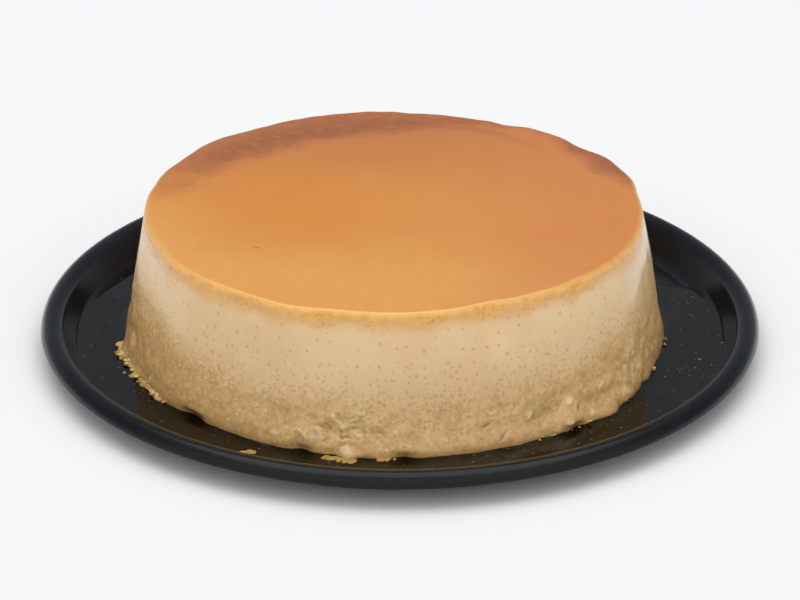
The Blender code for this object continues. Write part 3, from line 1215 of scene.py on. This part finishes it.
@dataclass
class Plate:
    """The plate: one turned piece of even wall.

    Attributes:
        form: Its form.
        steps: Faces round the turn.
    """

    form: PlateForm
    steps: int = 288

    def section(self) -> list[tuple[float, float]]:
        """Give the outline from the floor's middle round the lip to the underside's middle."""
        form, arc = self.form, Workshop.arc
        roll, fillet, wall = form.roll(), form.fillet(), form.thickness
        middle = form.rim_roll - wall / 2
        lip = (roll[0] + middle * math.cos(form.rim_end), roll[1] + middle * math.sin(form.rim_end))
        normal = math.pi / 2 + form.wall_slope
        down, foot = -math.pi / 2, normal - math.pi
        ring = 0.7 * fillet[0]
        return [
            (0.0, wall),
            (ring, wall),
            *arc(fillet, form.well_fillet, down, foot, 10),
            *arc(roll, form.rim_roll, normal, form.rim_end, 24),
            *arc(lip, wall / 2, form.rim_end, form.rim_end - math.pi, 6)[1:-1],
            *arc(roll, form.rim_roll - wall, form.rim_end, normal, 12),
            *arc(fillet, form.well_fillet + wall, foot, down, 8),
            (ring, 0.0),
            (0.0, 0.0),
        ]

    def build(self, shop: Workshop) -> bpy.types.Object:
        """Model and dress the plate.

        Args:
            shop: The modelling steps.

        Returns:
            The plate.
        """
        made = shop.turned("plate_dish", self.section(), self.steps)
        shop.smooth(made, 40.0)
        shop.fit(made, BlackPlastic().material(), Slot.PLATE, Node.PLATE)
        return made


@dataclass
class SyrupPool:
    """The pool between the flan's foot and the plate's wall, with its curved-up edges.

    Attributes:
        flan: The flan's form, which bounds it inside.
        plate: The plate's form, which bounds it outside.
        level: Height of its surface.
        climb: How far it climbs the foot.
        shore_climb: How far it climbs the wall.
        climb_length: How fast the climb dies out.
        bay_slope: Width over which its edge falls to the floor where it stops short.
        tuck: How far it reaches into the flan's foot.
        steps: Faces round the pool.
        NEAR: Distances of its rings from the foot, and again from the wall.
        MIDDLE: Places of the rings between, as shares of the way across.
        SPAN: Width of the pool for which the distances hold.
    """

    flan: FlanForm
    plate: PlateForm
    level: float
    climb: float = 0.0005
    shore_climb: float = 0.00018
    climb_length: float = 0.0011
    bay_slope: float = 0.0030
    tuck: float = 0.0004
    steps: int = 720

    NEAR = (0.0, 0.0003, 0.0007, 0.0012, 0.0018, 0.0026, 0.0036, 0.0050)
    MIDDLE = (0.34, 0.43, 0.50, 0.57, 0.66)
    SPAN = 0.020

    def shares(self) -> list[float]:
        """Give the rings' places across the pool, 0 at the foot and 1 at the wall."""
        inner = [reach / self.SPAN for reach in self.NEAR]
        return [*inner, *self.MIDDLE, *(1.0 - share for share in reversed(inner))]

    def build(self, shop: Workshop) -> bpy.types.Object:
        """Model and dress the pool.

        Args:
            shop: The modelling steps.

        Returns:
            The pool.
        """
        bottom, top = 0.0, 1.0
        shares = self.shares()
        section = [(1.0, bottom), *((1.0 + share, top) for share in shares), (2.0, bottom)]
        made = shop.turned("syrup_pool", section, self.steps, closed=True)
        angles, radius, height = polar(shop.points(made))
        across = np.clip(radius - 1.0, 0.0, 1.0)
        upper = height > (bottom + top) / 2
        shop.move(made, self._places(angles, across, upper))
        shop.smooth(made, 60.0)
        shop.fit(made, DarkSyrup().material(), Slot.SYRUP, Node.SYRUP)
        return made

    def _places(self, angles: np.ndarray, across: np.ndarray, upper: np.ndarray) -> np.ndarray:
        """Lay the blank's points between foot and wall.

        Args:
            angles: Each point's direction.
            across: Its share of the way from foot to wall.
            upper: Whether it lies on the surface.

        Returns:
            The points in place.
        """
        floor = self.plate.thickness
        foot_height = self.level + self.climb
        inset = self.plate.shore_inset(angles)
        bay = np.clip(inset / self.bay_slope, 0.0, 1.0)
        edge_height = (1.0 - bay) * (self.level + self.shore_climb) + bay * floor
        foot = self.flan.side_radius(angles, np.full_like(angles, foot_height)) - self.tuck
        shore = self.plate.wall_radius(edge_height) + self.plate.gap / 3 - inset
        inner = around(angles, foot)[:, :2] + np.array(self.flan.centre)
        outer = around(angles, shore)[:, :2]
        width = np.linalg.norm(outer - inner, axis=1)
        flat = inner + (outer - inner) * across[:, None]
        from_foot, from_shore = across * width, (1.0 - across) * width
        rise = self.climb * np.exp(-np.maximum(from_foot - self.tuck, 0.0) / self.climb_length)
        rise += (1.0 - bay) * self.shore_climb * np.exp(-from_shore / self.climb_length)
        slope = np.clip(1.0 - from_shore / self.bay_slope, 0.0, 1.0)
        rise -= bay * (self.level - floor) * slope**2
        height = np.where(upper, self.level + rise, floor - self.plate.gap / 3)
        return np.column_stack((flat, height))


@dataclass(frozen=True)
class Curd:
    """One lump, ridge or crease on the flan's side.

    Attributes:
        azimuth: Direction of its middle, in degrees.
        height: Height of its middle above the table.
        width: Half its width.
        reach: How far it stands out; a crease has a negative reach.
        length: Half its length; a round lump's is its width.
        lean: How far its long way rises to the right, in degrees.
    """

    azimuth: float
    height: float
    width: float
    reach: float
    length: float
    lean: float = 0.0

    def near(self, angles: np.ndarray, level: np.ndarray, radius: float) -> np.ndarray:
        """Give 1 in its middle, falling to 0 at its edge.

        Args:
            angles: Directions in radians.
            level: Heights above the table.
            radius: The side's radius, by which its way round is measured.

        Returns:
            The share at each place.
        """
        off = (np.degrees(angles) - self.azimuth + 180.0) % 360.0 - 180.0
        right, up = np.radians(off) * radius, level - self.height
        turn = math.radians(self.lean)
        along = (right * math.cos(turn) + up * math.sin(turn)) / self.length
        across = (up * math.cos(turn) - right * math.sin(turn)) / self.width
        return fade(np.hypot(along, across), 0.15, 1.0)


@dataclass(frozen=True)
class Relief:
    """Sizes of the fine relief on the flan's side.

    Attributes:
        patch: Size of its rougher and smoother patches.
        sway: How far the lumps are pushed out of line.
        sway_length: Length of that push.
        lump: Width of the larger lumps.
        grain: Width of the smaller ones.
        fold: Length of the folds.
        depth: Height of lumps and folds together.
        roll: Length of the smooth side's wide waves.
        roll_depth: Their depth.
        dimple: Length of its small waves.
        dimple_depth: Their depth.
        ragged: How far the curds' outlines wander.
        ragged_length: Length of that wandering.
        showing: Share of its reach with which a curd shows.
        nick: Middle and half-width of the nick in the foot that takes painted shade, in degrees.
        nick_heights: Heights up to which the nick's painted shade is full and at which it ends.
    """

    patch: float = 0.015
    sway: float = 0.0016
    sway_length: float = 0.005
    lump: float = 0.0034
    grain: float = 0.0018
    fold: float = 0.0042
    depth: float = 0.0004
    roll: float = 0.020
    roll_depth: float = 0.00018
    dimple: float = 0.0055
    dimple_depth: float = 0.00004
    ragged: float = 0.0011
    ragged_length: float = 0.0032
    showing: float = 0.42
    nick: tuple[float, float] = (-135.0, 6.0)
    nick_heights: tuple[float, float] = (0.0050, 0.0085)


@dataclass
class Flan:
    """The flan: its custard body and the caramel-soaked layer on top.

    Attributes:
        form: Its form.
        low: Height of the custard's underside.
        seam: Height at which the caramel layer begins.
        steps: Faces round each piece.
        rings: Courses of faces across the top.
        edge_round: Radius of the top's edge.
        relief: Sizes of the side's fine relief.
        fringe: Middle and half-width of the crumbling stretch of the foot, in degrees.
        fringe_heights: Heights up to which it crumbles fully and at which this ends.
        ripple_stretch: Middle and half-width of the stretch of the top that has the ripple's painted
            highlight and shade, in degrees.
        bright_edge: Middle and half-width of the stretch where the painted highlight along the edge is
            brightest, in degrees.
        band_edge: Width over which the dark band at the back sets in.
        band_depths: How far the band reaches in from the edge.
        band_strengths: How dark it is.
        curds: The single lumps, ridges and creases that stand out on the side.
    """

    form: FlanForm
    low: float
    seam: float
    steps: int = 1100
    rings: int = 36
    edge_round: float = 0.0024
    relief: Relief = Relief()
    fringe: tuple[float, float] = (-160.0, 16.0)
    fringe_heights: tuple[float, float] = (0.004, 0.012)
    ripple_stretch: tuple[float, float] = (68.0, 34.0)
    bright_edge: tuple[float, float] = (-92.0, 80.0)
    band_edge: float = 0.0180
    band_depths: tuple[Mark, ...] = (
        Mark(122.0, 72.0, 0.0365),
        Mark(78.0, 44.0, 0.0120),
        Mark(28.0, 40.0, 0.0200),
        Mark(160.0, 34.0, 0.0120),
        Mark(176.0, 24.0, 0.0100),
    )
    band_strengths: tuple[Mark, ...] = (
        Mark(128.0, 44.0, 0.95),
        Mark(88.0, 44.0, 0.90),
        Mark(54.0, 45.0, 0.70),
        Mark(26.0, 36.0, 1.15),
        Mark(162.0, 36.0, 0.45),
    )
    curds: tuple[Curd, ...] = (
        Curd(-100.0, 0.0134, 0.0022, 0.0011, 0.0032, 20.0),
        Curd(-102.3, 0.0172, 0.0013, 0.0009, 0.0030, -55.0),
        Curd(-105.1, 0.0112, 0.0014, 0.0008, 0.0036, -60.0),
        Curd(-102.9, 0.0130, 0.0010, -0.0009, 0.0034, -58.0),
        Curd(-96.5, 0.0196, 0.0014, 0.0008, 0.0022, 10.0),
        Curd(-98.2, 0.0165, 0.0012, 0.0007, 0.0024, 30.0),
        Curd(-99.8, 0.0094, 0.0011, -0.0012, 0.0046, -8.0),
        Curd(-103.6, 0.0078, 0.0011, -0.0010, 0.0030, 35.0),
        Curd(-99.4, 0.0058, 0.0020, 0.0006, 0.0034, 0.0),
        Curd(-108.2, 0.0096, 0.0012, 0.0006, 0.0034, -40.0),
        Curd(-114.2, 0.0080, 0.0016, 0.0006, 0.0034, 15.0),
        Curd(-95.2, 0.0130, 0.0012, 0.0006, 0.0022, -30.0),
        Curd(-101.0, 0.0155, 0.0011, 0.0008, 0.0019, -48.0),
        Curd(-104.2, 0.0147, 0.0010, 0.0008, 0.0018, 40.0),
        Curd(-97.2, 0.0108, 0.0010, 0.0008, 0.0018, -25.0),
        Curd(-100.6, 0.0110, 0.0008, -0.0012, 0.0030, -70.0),
        Curd(-97.6, 0.0128, 0.0008, -0.0011, 0.0030, 15.0),
        Curd(-104.6, 0.0128, 0.0008, -0.0011, 0.0030, -20.0),
        Curd(-74.1, 0.0177, 0.0015, 0.0007, 0.0020, 0.0),
        Curd(-69.3, 0.0164, 0.0015, 0.0007, 0.0019, 20.0),
        Curd(-66.4, 0.0204, 0.0014, 0.0007, 0.0016, 0.0),
        Curd(-61.2, 0.0121, 0.0016, 0.0009, 0.0026, 40.0),
        Curd(-70.4, 0.0123, 0.0010, -0.0009, 0.0044, 28.0),
        Curd(-67.2, 0.0070, 0.0011, -0.0011, 0.0038, 38.0),
        Curd(-83.1, 0.0172, 0.0013, 0.0006, 0.0015, 0.0),
        Curd(-51.1, 0.0136, 0.0022, 0.0013, 0.0024, 0.0),
        Curd(-52.3, 0.0062, 0.0024, 0.0013, 0.0026, 0.0),
        Curd(-49.2, 0.0094, 0.0012, -0.0010, 0.0026, 50.0),
        Curd(-55.4, 0.0045, 0.0020, 0.0009, 0.0024, 0.0),
        Curd(-45.8, 0.0057, 0.0018, 0.0008, 0.0022, 0.0),
        Curd(-41.6, 0.0140, 0.0018, 0.0008, 0.0020, 0.0),
        Curd(-28.3, 0.0176, 0.0016, 0.0008, 0.0018, 0.0),
        Curd(-17.0, 0.0097, 0.0016, 0.0009, 0.0018, 0.0),
        Curd(-35.0, 0.0040, 0.0016, 0.0007, 0.0020, 0.0),
        Curd(-157.6, 0.0083, 0.0018, 0.0008, 0.0020, 0.0),
        Curd(-151.0, 0.0066, 0.0018, 0.0008, 0.0020, 0.0),
    )

    def side_heights(self) -> list[float]:
        """Give the custard's courses: close together where it is craggy, wider above."""
        fine, coarse, craggy, plain = 0.00046, 0.00130, 0.024, 0.038
        heights = [self.low]
        while heights[-1] < self.seam - coarse:
            share = min(max((heights[-1] - craggy) / (plain - craggy), 0.0), 1.0)
            heights.append(heights[-1] + fine + (coarse - fine) * share)
        return [*heights, self.seam]

    def build(self, shop: Workshop) -> list[bpy.types.Object]:
        """Model and dress both pieces."""
        return [self._custard(shop), self._caramel(shop)]

    def _custard(self, shop: Workshop) -> bpy.types.Object:
        """Model and dress the custard body.

        Args:
            shop: The modelling steps.

        Returns:
            The custard body.
        """
        heights = self.side_heights()
        radii = self.form.straight(np.array(heights))
        section = [(0.0, self.low), *zip(radii.tolist(), heights), (0.0, self.seam)]
        made = shop.turned("custard_body", section, self.steps)
        angles, radius, level = polar(shop.points(made))
        crag, relief = self._fine_relief(angles, level)
        outer = radius > 0.5 * self.form.top_radius
        placed = around(angles, np.where(outer, self.form.side_radius(angles, level) + relief, 0.0), level)
        placed[:, :2] += self.form.centre
        shop.move(made, placed)
        fringe = hump(angles, *self.fringe) * fade(level, *self.fringe_heights)
        for name, values in (("crag", crag), ("baked", self._baked(angles, level)), ("fringe", fringe)):
            shop.mark(made, name, values)
        shop.smooth(made, 75.0)
        shop.fit(made, BakedCustard(self.form).material(), Slot.CUSTARD, Node.CUSTARD)
        return made

    def _baked(self, angles: np.ndarray, level: np.ndarray) -> np.ndarray:
        """Give how far the side has turned from cream to tan, with painted reflection lifting it at the far
        left.

        Args:
            angles: Directions in radians.
            level: Heights above the table.

        Returns:
            0 or less in the cream, rising to 1 and more near the foot.
        """
        front_line, rise, left_reflection_rise, depth = 0.0300, 0.0120, 0.0160, 0.0200
        line = front_line + rise * (1.0 - hump(angles, -90.0, 100.0))
        # Painted reflection: at the far left the tan climbs higher, where the glossy side mirrors the black
        # plate.
        line += left_reflection_rise * hump(angles, 180.0, 40.0)
        return (line - level) / depth

    def _fine_relief(self, angles: np.ndarray, level: np.ndarray) -> tuple[np.ndarray, np.ndarray]:
        """Work out the curds, folds and dimples that the plain solid leaves out.

        Args:
            angles: Each point's direction.
            level: Its height.

        Returns:
            The crest share, from 0 in a crease to 1 on a crest, and the push outwards.
        """
        sizes, radius = self.relief, self.form.top_radius
        skin = around(angles, self.form.straight(level), level)
        patches = fade(waves(skin, sizes.patch), 0.25, -0.30)
        rough = np.clip(self.form.roughness(angles, level) * (0.20 + patches), 0.0, 1.0)
        sway = np.column_stack([waves(skin + shift, sizes.sway_length) for shift in (0.0, 0.1, 0.2)])
        bent = skin + sizes.sway * sway
        curd = 0.55 * lumps(bent, sizes.lump) + 0.45 * lumps(bent + 0.05, sizes.grain)
        folds = 1.0 - np.abs(waves(bent * (1.0, 1.0, 1.5), sizes.fold))
        crest = 0.6 * curd + 0.4 * folds**2
        push = rough * sizes.depth * (crest - 0.5)
        push += sizes.roll_depth * waves(skin, sizes.roll) + sizes.dimple_depth * waves(skin, sizes.dimple)
        crag = 0.5 + rough * (crest - 0.5) * 0.75
        aside = angles + sizes.ragged / radius * waves(skin + 0.3, sizes.ragged_length)
        higher = level + sizes.ragged * waves(skin + 0.4, sizes.ragged_length)
        for one in self.curds:
            near = sizes.showing * one.near(aside, higher, radius)
            push += one.reach * near
            crag += math.copysign(1.0, one.reach) * near
        # Painted shade: the nick under the foot's overhang takes the crease colour.
        crag -= 0.45 * hump(angles, *sizes.nick) * fade(level, *sizes.nick_heights)
        return np.clip(crag, 0.0, 1.0), push

    def _caramel(self, shop: Workshop) -> bpy.types.Object:
        """Model and dress the caramel-soaked layer.

        Args:
            shop: The modelling steps.

        Returns:
            The layer.
        """
        form, edge = self.form, self.edge_round
        side = float(form.straight(np.array(self.seam)))
        shoulder = form.top_radius + form.taper * edge
        rounded = shop.arc((shoulder - edge, form.top - edge), edge, 0.0, math.pi / 2, 8)
        inward = [(shoulder - edge) * (1.0 - ring / self.rings) for ring in range(1, self.rings)]
        section = [(0.0, self.seam), (side, self.seam), *rounded]
        section += [(radius, form.top) for radius in inward] + [(0.0, form.top)]
        made = shop.turned("caramel_layer", section, self.steps)
        angles, plain, level = polar(shop.points(made))
        cone = form.straight(level)
        radius = plain * (form.side_radius(angles, level) / cone)
        placed = around(angles, radius, level)
        top = level > form.top - 0.0001
        placed[:, 2] += np.where(top, self._top_waves(placed, radius / form.top_radius), 0.0)
        placed[:, :2] += form.centre
        shop.move(made, placed)
        # Painted highlight: the edge mark is a bright line along the rounded edge, brightest at the front.
        line = fade(plain / cone, 0.990, 0.982) * fade(level, form.top - 0.0004, form.top - 0.0010)
        marks = {
            "band": self._band(placed, angles, plain),
            # The ripple mark places the ripple's painted highlight and shade.
            "ripple": hump(angles, *self.ripple_stretch),
            "rim": fade(level, form.top - 0.0010, form.top - 0.0003),
            "edge": (0.35 + 0.65 * hump(angles, *self.bright_edge)) * line,
        }
        for name, values in marks.items():
            shop.mark(made, name, values)
        shop.smooth(made, 60.0)
        shop.fit(made, CaramelGlaze(form).material(), Slot.CARAMEL, Node.CARAMEL)
        return made

    def _top_waves(self, placed: np.ndarray, across: np.ndarray) -> np.ndarray:
        """Give the top's gentle unevenness, which dies out at the edge.

        Args:
            placed: Points in place.
            across: Their distances from the axis, as shares of the top's radius.

        Returns:
            How far each point is raised.
        """
        size, depth, layer = 0.045, 0.0004, 5.3
        small_size, small_depth = 0.012, 0.00006
        flat = placed * (1.0, 1.0, 0.0) + (0.0, 0.0, layer * size)
        inside = fade(across, 0.86, 0.99)
        return inside * (depth * waves(flat, size) + small_depth * waves(flat, small_size))

    def _band(self, placed: np.ndarray, angles: np.ndarray, radius: np.ndarray) -> np.ndarray:
        """Give the strength of the dark band along the back of the top.

        Args:
            placed: Points in place.
            angles: Their directions in radians.
            radius: Their distances from the axis before the edge was shaped.

        Returns:
            The band's strength at each point, from 0 to 1.
        """
        wander, length = 0.0030, 0.014
        inner = self.form.top_radius + wander * waves(placed, length) - total(self.band_depths, angles)
        depth = np.clip((radius - inner) / self.band_edge, 0.0, 1.0)
        return np.clip(total(self.band_strengths, angles), 0.0, 1.0) * depth


@dataclass(frozen=True)
class Crumb:
    """A crumb laid one by one.

    Attributes:
        x: Its place to the right.
        y: Its place to the back.
        width: Its width.
        flat: Its height as a share of its width.
        soaked: Whether the syrup has turned it grey.
    """

    x: float
    y: float
    width: float
    flat: float = 0.5
    soaked: bool = False


@dataclass(frozen=True)
class Stretch:
    """A stretch of the foot that has crumbled.

    Attributes:
        start: Its first direction, in degrees.
        end: Its last direction.
        count: Number of crumbs.
        width: Their usual width.
        flat: Their height as a share of their width.
    """

    start: float
    end: float
    count: int
    width: float
    flat: float


@dataclass
class Crumbs:
    """Crumbs, scraps and specks of custard that lie in the syrup and at the flan's foot.

    Attributes:
        flan: The flan's form.
        plate: The plate's form.
        level: Height of the pool's surface.
        seed: Seed of every random draw.
        specks: Number of fine specks.
        speck_turn: Middle and spread of their directions, in degrees.
        speck_widths: Their least and greatest width.
        speck_room: How far they keep from foot and wall.
        fringe_out: Least, greatest and usual distance of a crumb outside the foot.
        fringe_up: The same of its height above the pool.
        fringe_widths: The same of its width, as a share of its stretch's.
        stretches: Where the foot has crumbled.
        laid: The crumbs and scraps laid one by one.
    """

    flan: FlanForm
    plate: PlateForm
    level: float
    seed: int = 7
    specks: int = 150
    speck_turn: tuple[float, float] = (-25.0, 70.0)
    speck_widths: tuple[float, float] = (0.0003, 0.0009)
    speck_room: float = 0.001
    fringe_out: tuple[float, float, float] = (-0.0014, 0.0018, -0.0004)
    fringe_up: tuple[float, float, float] = (-0.0004, 0.0018, 0.0000)
    fringe_widths: tuple[float, float, float] = (0.3, 2.6, 0.6)
    stretches: tuple[Stretch, ...] = (
        Stretch(-174.0, -146.0, 60, 0.0019, 0.30),
        Stretch(-174.0, -143.0, 300, 0.0013, 0.42),
        Stretch(-60.0, -5.0, 26, 0.0009, 0.42),
        Stretch(20.0, 170.0, 220, 0.0013, 0.42),
    )
    laid: tuple[Crumb, ...] = (
        Crumb(-0.0591, -0.1083, 0.0036, 0.35),
        Crumb(-0.0612, -0.1085, 0.0030, 0.30),
        Crumb(-0.0571, -0.1084, 0.0022, 0.30),
        Crumb(-0.0262, -0.1134, 0.0036, 0.4),
        Crumb(-0.0236, -0.1146, 0.0040, 0.4),
        Crumb(-0.0212, -0.1158, 0.0042, 0.4),
        Crumb(-0.0188, -0.1160, 0.0036, 0.3),
        Crumb(-0.0290, -0.1129, 0.0030, 0.3),
        Crumb(-0.0049, -0.1143, 0.0040, 0.4),
        Crumb(-0.0075, -0.1144, 0.0036, 0.4),
        Crumb(-0.0022, -0.1140, 0.0028, 0.3),
        Crumb(0.1238, -0.0278, 0.0015, 0.5, True),
        Crumb(0.1106, -0.0085, 0.0022, 0.6, True),
        Crumb(0.1345, -0.0122, 0.0013, 0.5, True),
        Crumb(0.1282, -0.0327, 0.0012, 0.5, True),
        Crumb(-0.1129, -0.0399, 0.0016, 0.5),
    )

    @staticmethod
    def _lump(
        rng: random.Random, place: tuple[float, float, float], width: float, flat: float, rounds: int
    ) -> bpy.types.Object:
        """Model one crumb: a ball pushed out of true and laid in place.

        Args:
            rng: Source of its shape.
            place: Its middle.
            width: Its width.
            flat: Its height as a share of its width.
            rounds: How finely the ball is split.

        Returns:
            The crumb.
        """
        bumpiness, bump = 0.45, 0.45 * width
        bpy.ops.object.select_all(action="DESELECT")
        bpy.ops.mesh.primitive_ico_sphere_add(subdivisions=rounds, radius=width / 2, location=place)
        made = bpy.context.object
        shift = Vector([rng.uniform(0.0, 50.0) for _ in range(3)])
        for vertex in made.data.vertices:
            vertex.co *= 1.0 + bumpiness * noise.noise(vertex.co / bump + shift)
        made.rotation_euler = (0.0, 0.0, rng.uniform(0.0, math.tau))
        made.scale = (rng.uniform(0.9, 1.5), rng.uniform(0.7, 1.0), flat)
        return made

    def _foot(self, angle: float) -> float:
        """Give the foot's radius at the pool's surface in one direction."""
        return float(self.flan.side_radius(np.array([angle]), np.array([self.level]))[0])

    def build(self, shop: Workshop) -> list[bpy.types.Object]:
        """Model and dress the crumbs and the specks.

        Args:
            shop: The modelling steps.

        Returns:
            The crumbs and the specks.
        """
        rng = random.Random(self.seed)
        piles: dict[bool, list[bpy.types.Object]] = {False: [], True: []}
        for one in self.laid:
            piles[one.soaked].append(self._lump(rng, (one.x, one.y, self.level), one.width, one.flat, 3))
        crumbs = shop.joined("custard_crumbs", piles[False] + self._fringe(rng))
        specks = shop.joined("custard_specks", piles[True] + self._scatter(rng))
        soaked = LooseCustard("soaked_specks", paint(168, 160, 128), paint(112, 104, 74))
        for made, finish in ((crumbs, LooseCustard()), (specks, soaked)):
            shop.smooth(made, 60.0)
            shop.fit(made, finish.material(), Slot.CUSTARD)
        return [crumbs, specks]

    def _fringe(self, rng: random.Random) -> list[bpy.types.Object]:
        """Crumble the foot at the left, and here and there round the rest.

        Args:
            rng: Source of the random draws.

        Returns:
            The crumbs.
        """
        made = []
        for stretch in self.stretches:
            for _ in range(stretch.count):
                angle = math.radians(rng.uniform(stretch.start, stretch.end))
                out = self._foot(angle) + rng.triangular(*self.fringe_out)
                x = self.flan.centre[0] + out * math.cos(angle)
                y = self.flan.centre[1] + out * math.sin(angle)
                place = (x, y, self.level + rng.triangular(*self.fringe_up))
                width = stretch.width * rng.triangular(*self.fringe_widths)
                made.append(self._lump(rng, place, width, stretch.flat, 2))
        return made

    def _scatter(self, rng: random.Random) -> list[bpy.types.Object]:
        """Scatter fine specks over the pool, most of them at the right.

        Args:
            rng: Source of the random draws.

        Returns:
            The specks.
        """
        made = []
        shore = float(self.plate.wall_radius(np.array([self.level]))[0])
        for _ in range(self.specks):
            angle = math.radians(rng.gauss(*self.speck_turn))
            out = rng.uniform(self._foot(angle) + self.speck_room, shore - self.speck_room)
            place = (out * math.cos(angle), out * math.sin(angle), self.level)
            made.append(self._lump(rng, place, rng.uniform(*self.speck_widths), 0.5, 1))
        return made


# ---- Studio ----


@dataclass
class Studio:
    """Floor, light and camera.

    Attributes:
        distance: From the camera to the point it looks at.
        pitch: How far it looks down, in degrees.
        aim: Height of the point it looks at.
        lens: Its focal length, in millimetres.
        floor_size: Width of the floor.
        floor_drop: How far the floor lies below the plate.
        lamp_place: Where the lamp hangs.
        lamp_size: Its width and depth.
        lamp_power: Its power, in watts.
        BACK_SKY: The light behind, from the horizon up to overhead.
        FRONT_SKY: The light in front, likewise.
    """

    distance: float = 1.3595
    pitch: float = 25.584
    aim: float = 0.0166
    lens: float = 146.05
    floor_size: float = 14.0
    floor_drop: float = 0.0002
    lamp_place: tuple[float, float, float] = (0.0, 0.10, 1.30)
    lamp_size: tuple[float, float] = (1.5, 1.2)
    lamp_power: float = 6.0

    BACK_SKY = (
        (0.00, (0.50, 0.50, 0.50, OPAQUE)),
        (0.16, (0.38, 0.39, 0.41, OPAQUE)),
        (0.42, (0.290, 0.335, 0.385, OPAQUE)),
        (0.70, (0.34, 0.35, 0.37, OPAQUE)),
        (0.86, (0.85, 0.86, 0.88, OPAQUE)),
        (1.00, (1.00, 1.01, 1.03, OPAQUE)),
    )
    FRONT_SKY = (
        (0.00, (0.75, 0.75, 0.75, OPAQUE)),
        (0.30, (0.98, 0.98, 0.98, OPAQUE)),
        (1.00, (1.02, 1.02, 1.02, OPAQUE)),
    )

    def build(self) -> None:
        """Set up the floor, the light and the camera."""
        self._floor()
        self._sky()
        self._softbox()
        self._camera()
        bpy.context.scene.view_settings.view_transform = "Standard"

    def _floor(self) -> None:
        """Lay the floor."""
        bpy.ops.object.select_all(action="DESELECT")
        bpy.ops.mesh.primitive_plane_add(size=self.floor_size, location=(0.0, 0.0, -self.floor_drop))
        floor = bpy.context.object
        floor.name = "studio_floor"
        floor.data.materials.append(PaleFloor().material())

    def _sky(self) -> None:
        """Surround the scene with soft light: pale in front and overhead, dim at the back."""
        world = bpy.data.worlds.new("studio")
        bpy.context.scene.world = world
        bench = Bench(world)
        _, y, up = bench.parts(bench.node("ShaderNodeTexCoord", output="Generated"))
        back = bench.node("ShaderNodeValToRGB", {"stops": self.BACK_SKY}, {0: up})
        front = bench.node("ShaderNodeValToRGB", {"stops": self.FRONT_SKY}, {0: up})
        sky = bench.blend((0.0 - y).rise(-0.25, 0.65), back, front)
        background = world.node_tree.nodes["Background"]
        bench.feed(background.inputs["Color"], sky)
        background.inputs["Strength"].default_value = 1.0

    def _softbox(self) -> None:
        """Hang one wide soft lamp, which shines straight down."""
        light = bpy.data.lights.new("softbox_top", "AREA")
        light.shape = "RECTANGLE"
        light.size, light.size_y = self.lamp_size
        light.energy = self.lamp_power
        lamp = bpy.data.objects.new("softbox_top", light)
        lamp.location = self.lamp_place
        bpy.context.scene.collection.objects.link(lamp)

    def _camera(self) -> None:
        """Set the camera at its viewing angle."""
        pitch = math.radians(self.pitch)
        data = bpy.data.cameras.new("camera")
        data.lens = self.lens
        camera = bpy.data.objects.new("camera", data)
        back, up = self.distance * math.cos(pitch), self.distance * math.sin(pitch)
        camera.location = (0.0, -back, self.aim + up)
        camera.rotation_euler = (math.pi / 2 - pitch, 0.0, 0.0)
        bpy.context.scene.collection.objects.link(camera)
        bpy.context.scene.camera = camera


def main() -> None:
    """Build every piece in order, then the studio."""
    logging.basicConfig(level=logging.INFO, format="%(name)s: %(message)s")
    shop = Workshop()
    plate_low, plate_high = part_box(Node.PLATE.value)
    custard_low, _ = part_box(Node.CUSTARD.value)
    _, syrup_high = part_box(Node.SYRUP.value)
    caramel_low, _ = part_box(Node.CARAMEL.value)
    flan_form = FlanForm()
    plate_form = PlateForm(radius=round((plate_high.x - plate_low.x) / 2, 4))
    Plate(plate_form).build(shop)
    SyrupPool(flan_form, plate_form, syrup_high.z).build(shop)
    Flan(flan_form, custard_low.z, caramel_low.z).build(shop)
    Crumbs(flan_form, plate_form, syrup_high.z).build(shop)
    Studio().build()


if __name__ == "__main__":
    main()
